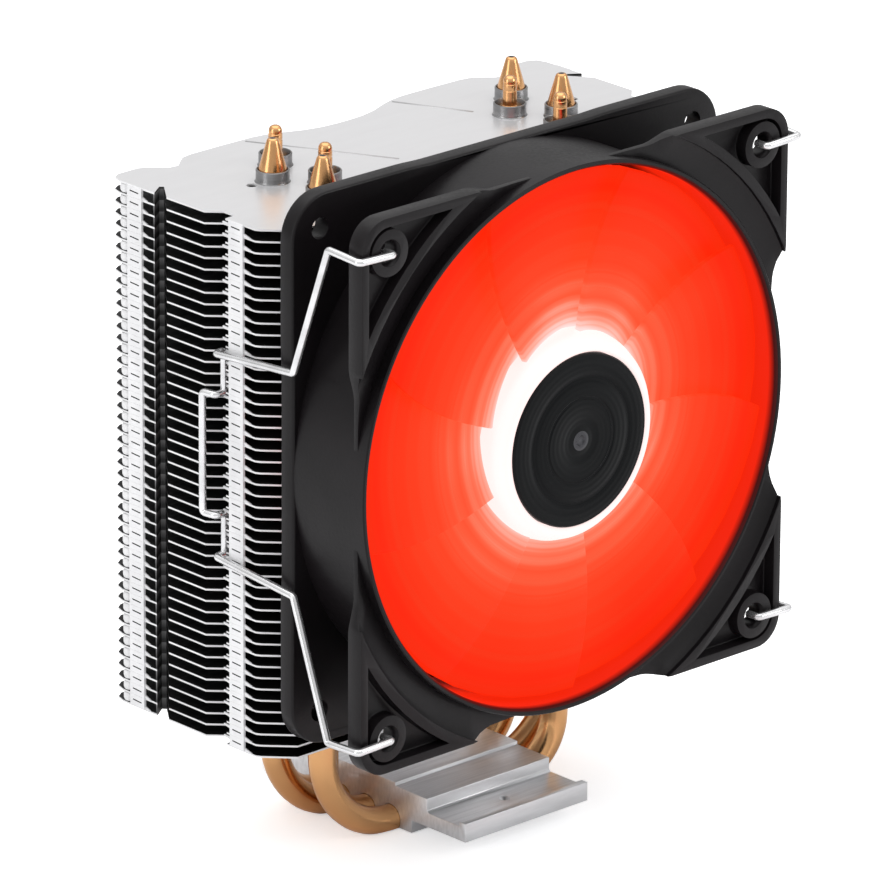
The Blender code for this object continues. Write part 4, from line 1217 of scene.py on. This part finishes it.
# ---- Clips --------------------------------------------------------------------------------
def build_clips():
    """The right clip's wire, bent through its corners, and its mirror on the left."""
    radius = bpy.context.scene.cooler_sizes.wire_radius
    hole = HOLE_REACH
    front = -0.5 * MM - radius
    out = FAN_HALF + 1.1 * MM + radius
    groove = FRONT_EDGE + 17.0 * MM
    seat_x = FIN_HALF - 0.9 * MM
    seat_z, finger = 22.2 * MM, 13.2 * MM
    upper = [(hole, 1.8 * MM, hole), (hole, front, hole), (out, front, hole + 0.3 * MM),
             (out, 8.0 * MM, hole + 0.8 * MM), (out, 18.6 * MM, seat_z + 2.0 * MM),
             (out, groove, seat_z), (seat_x, groove, seat_z), (seat_x, groove, finger),
             (out, groove, finger), (out + 0.6 * MM, groove + 3.4 * MM, finger)]
    corners = upper + [(x, depth, -z) for x, depth, z in reversed(upper)]
    path = rounded_path([from_face(*corner) for corner in corners], radius * 1.02, 6)
    clip = bent_bar("wire_clip_right", path, radius, 5)
    smooth(paint(clip, "spring_wire"), 50.0)
    left = mirrored_copy(clip, "wire_clip_left")
    mount_piece(clip, "clip_right", "clip_steel", "clip_right")
    mount_piece(left, "clip_left", "clip_steel", "clip_left")


# ---- Motor --------------------------------------------------------------------------------
MOTOR_FINISHES = {
    "stator_core": "laminations", "bearing_sleeve": "bronze", "circuit_board": "solder_resist",
    "magnet_ring": "bonded_magnet", "rotor_yoke": "pressed_steel",
    "rotor_shaft": "pressed_steel", "shaft_retainer": "frame_plastic",
}


def finish_motor():
    """Finishes for the small pieces inside the hub, which keep their CAD shapes."""
    for name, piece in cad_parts.items():
        if name in MOTOR_FINISHES:
            paint(piece, MOTOR_FINISHES[name])
        elif name.startswith("stator_coil_"):
            paint(piece, "winding")
        elif name.startswith("led_"):
            paint(piece, "led_lens")


# ---- Stage --------------------------------------------------------------------------------
CAMERA_PLACE = Vector((-1.22253, -1.32888, 0.73635))
CAMERA_AZIMUTH = math.radians(-42.8)
CAMERA_ELEVATION = math.radians(20.03)
CAMERA_ROLL = math.radians(0.334)
CAMERA_LENS = 369.06
ROOM_LOW, ROOM_HIGH = 0.45, 1.1     # brightness of the room's walls and ceiling
FLOOR_LIFT = 0.5                    # glow of the floor where the camera sees it


def backdrop_finish():
    made = Finish("pale floor")
    shade = made.grain((1.0, 1.0, 1.0), 60.0, (0.7, 0.8), 0.02 * MM)
    made.blend("Base Color", (0.93, 0.93, 0.94), (0.91, 0.91, 0.92), shade)
    rays = node(made.tree, "ShaderNodeLightPath")
    made.level("Emission Color", (1.0, 1.0, 1.0, 1.0))
    made.feed("Emission Strength",
              calc(made.tree, "MULTIPLY", rays.outputs["Is Camera Ray"], FLOOR_LIFT))
    return made.material


def soft_light(name, place, aim, width, height, watts):
    data = bpy.data.lights.new(name, "AREA")
    data.shape = "RECTANGLE"
    data.size = width
    data.size_y = height
    data.energy = watts
    light = bpy.data.objects.new(name, data)
    bpy.context.scene.collection.objects.link(light)
    light.location = place
    light.rotation_euler = (Vector(aim) - Vector(place)).to_track_quat("-Z", "Y").to_euler()


def build_stage():
    bpy.ops.mesh.primitive_plane_add(size=12.0, location=(0.0, 0.0, -0.3 * MM))
    floor = added("pale_floor")
    floor.data.materials.append(backdrop_finish())
    world = bpy.data.worlds.new("soft room")
    world.use_nodes = True
    tree = world.node_tree
    back = tree.nodes["Background"]
    back.inputs["Color"].default_value = (1.0, 1.0, 1.0, 1.0)
    direction = node(tree, "ShaderNodeTexCoord")
    parts = node(tree, "ShaderNodeSeparateXYZ", [(0, direction.outputs["Generated"])])
    tree.links.new(spread(tree, parts.outputs["Z"], 0.0, 0.9, ROOM_LOW, ROOM_HIGH),
                   back.inputs["Strength"])
    bpy.context.scene.world = world
    bpy.context.scene.view_settings.view_transform = "Standard"
    aim = (0.0, 0.0, 0.08)
    soft_light("overhead", (0.1, 0.1, 1.1), aim, 1.3, 1.3, 5.0)
    soft_light("left_strip", (-1.3, 0.1, 0.35), aim, 0.5, 1.1, 3.5)
    soft_light("front_right", (0.9, -1.3, 0.7), aim, 0.7, 0.7, 5.0)
    back_vector = Vector((math.sin(CAMERA_AZIMUTH) * math.cos(CAMERA_ELEVATION),
                          -math.cos(CAMERA_AZIMUTH) * math.cos(CAMERA_ELEVATION),
                          math.sin(CAMERA_ELEVATION)))
    right = (-back_vector).cross(Vector((0.0, 0.0, 1.0))).normalized()
    right.rotate(Matrix.Rotation(CAMERA_ROLL, 3, back_vector))
    up = back_vector.cross(right)
    data = bpy.data.cameras.new("camera")
    data.sensor_width = 36.0
    data.lens = CAMERA_LENS
    data.clip_start = 0.05
    data.clip_end = 50.0
    camera = bpy.data.objects.new("camera", data)
    bpy.context.scene.collection.objects.link(camera)
    turn = Matrix((right, up, back_vector)).transposed().to_4x4()
    camera.matrix_world = Matrix.Translation(CAMERA_PLACE) @ turn
    bpy.context.scene.camera = camera


# ---- Operators ----------------------------------------------------------------------------
class COOLER_OT_stage(bpy.types.Operator):
    """Sets out the pale floor, the soft lights and the camera"""
    bl_idname = "cooler.stage"
    bl_label = "Stage"

    def execute(self, context):
        build_stage()
        return {"FINISHED"}


class COOLER_OT_base(bpy.types.Operator):
    """Models the milled base that sits on the processor"""
    bl_idname = "cooler.base"
    bl_label = "Base"

    def execute(self, context):
        build_base()
        return {"FINISHED"}


class COOLER_OT_pipes(bpy.types.Operator):
    """Models the four copper heat pipes"""
    bl_idname = "cooler.pipes"
    bl_label = "Heat pipes"

    def execute(self, context):
        build_pipes()
        return {"FINISHED"}


class COOLER_OT_fins(bpy.types.Operator):
    """Models one pair of fins with its folds and stacks the pairs"""
    bl_idname = "cooler.fins"
    bl_label = "Fins"

    def execute(self, context):
        build_fin_pairs()
        return {"FINISHED"}


class COOLER_OT_top_fin(bpy.types.Operator):
    """Models the top fin and the collars round the pipes"""
    bl_idname = "cooler.top_fin"
    bl_label = "Top fin"

    def execute(self, context):
        build_top_fin()
        return {"FINISHED"}


class COOLER_OT_housing(bpy.types.Operator):
    """Models the fan's frame with its duct, flanges and struts"""
    bl_idname = "cooler.housing"
    bl_label = "Fan frame"

    def execute(self, context):
        build_housing()
        return {"FINISHED"}


class COOLER_OT_rotor(bpy.types.Operator):
    """Models the lit blades, the hub ring and the hub's cap"""
    bl_idname = "cooler.rotor"
    bl_label = "Rotor"

    def execute(self, context):
        build_rotor()
        return {"FINISHED"}


class COOLER_OT_clips(bpy.types.Operator):
    """Bends the two wire clips that hold the fan"""
    bl_idname = "cooler.clips"
    bl_label = "Wire clips"

    def execute(self, context):
        build_clips()
        return {"FINISHED"}


class COOLER_OT_motor(bpy.types.Operator):
    """Gives the motor's inner pieces their finishes"""
    bl_idname = "cooler.motor"
    bl_label = "Motor finishes"

    def execute(self, context):
        finish_motor()
        return {"FINISHED"}


OPERATORS = (COOLER_OT_stage, COOLER_OT_base, COOLER_OT_pipes, COOLER_OT_fins,
             COOLER_OT_top_fin, COOLER_OT_housing, COOLER_OT_rotor, COOLER_OT_clips,
             COOLER_OT_motor)


class COOLER_PT_panel(bpy.types.Panel):
    """Lists the cooler's pieces and the sizes and colours behind them"""
    bl_idname = "COOLER_PT_panel"
    bl_label = "CPU tower cooler"
    bl_space_type = "VIEW_3D"
    bl_region_type = "UI"
    bl_category = "Cooler"

    def draw(self, context):
        for operator in OPERATORS:
            self.layout.operator(operator.bl_idname)
        for group in (context.scene.cooler_sizes, context.scene.cooler_colours):
            for name in group.__annotations__:
                self.layout.prop(group, name)


CLASSES = (CoolerSizes, CoolerColours) + OPERATORS + (COOLER_PT_panel,)


def register():
    for item in CLASSES:
        bpy.utils.register_class(item)
    bpy.types.Scene.cooler_sizes = bpy.props.PointerProperty(type=CoolerSizes)
    bpy.types.Scene.cooler_colours = bpy.props.PointerProperty(type=CoolerColours)


def unregister():
    del bpy.types.Scene.cooler_colours
    del bpy.types.Scene.cooler_sizes
    for item in reversed(CLASSES):
        bpy.utils.unregister_class(item)


def main():
    register()
    for operator in OPERATORS:
        group, name = operator.bl_idname.split(".")
        getattr(getattr(bpy.ops, group), name)()


if __name__ == "__main__":
    main()
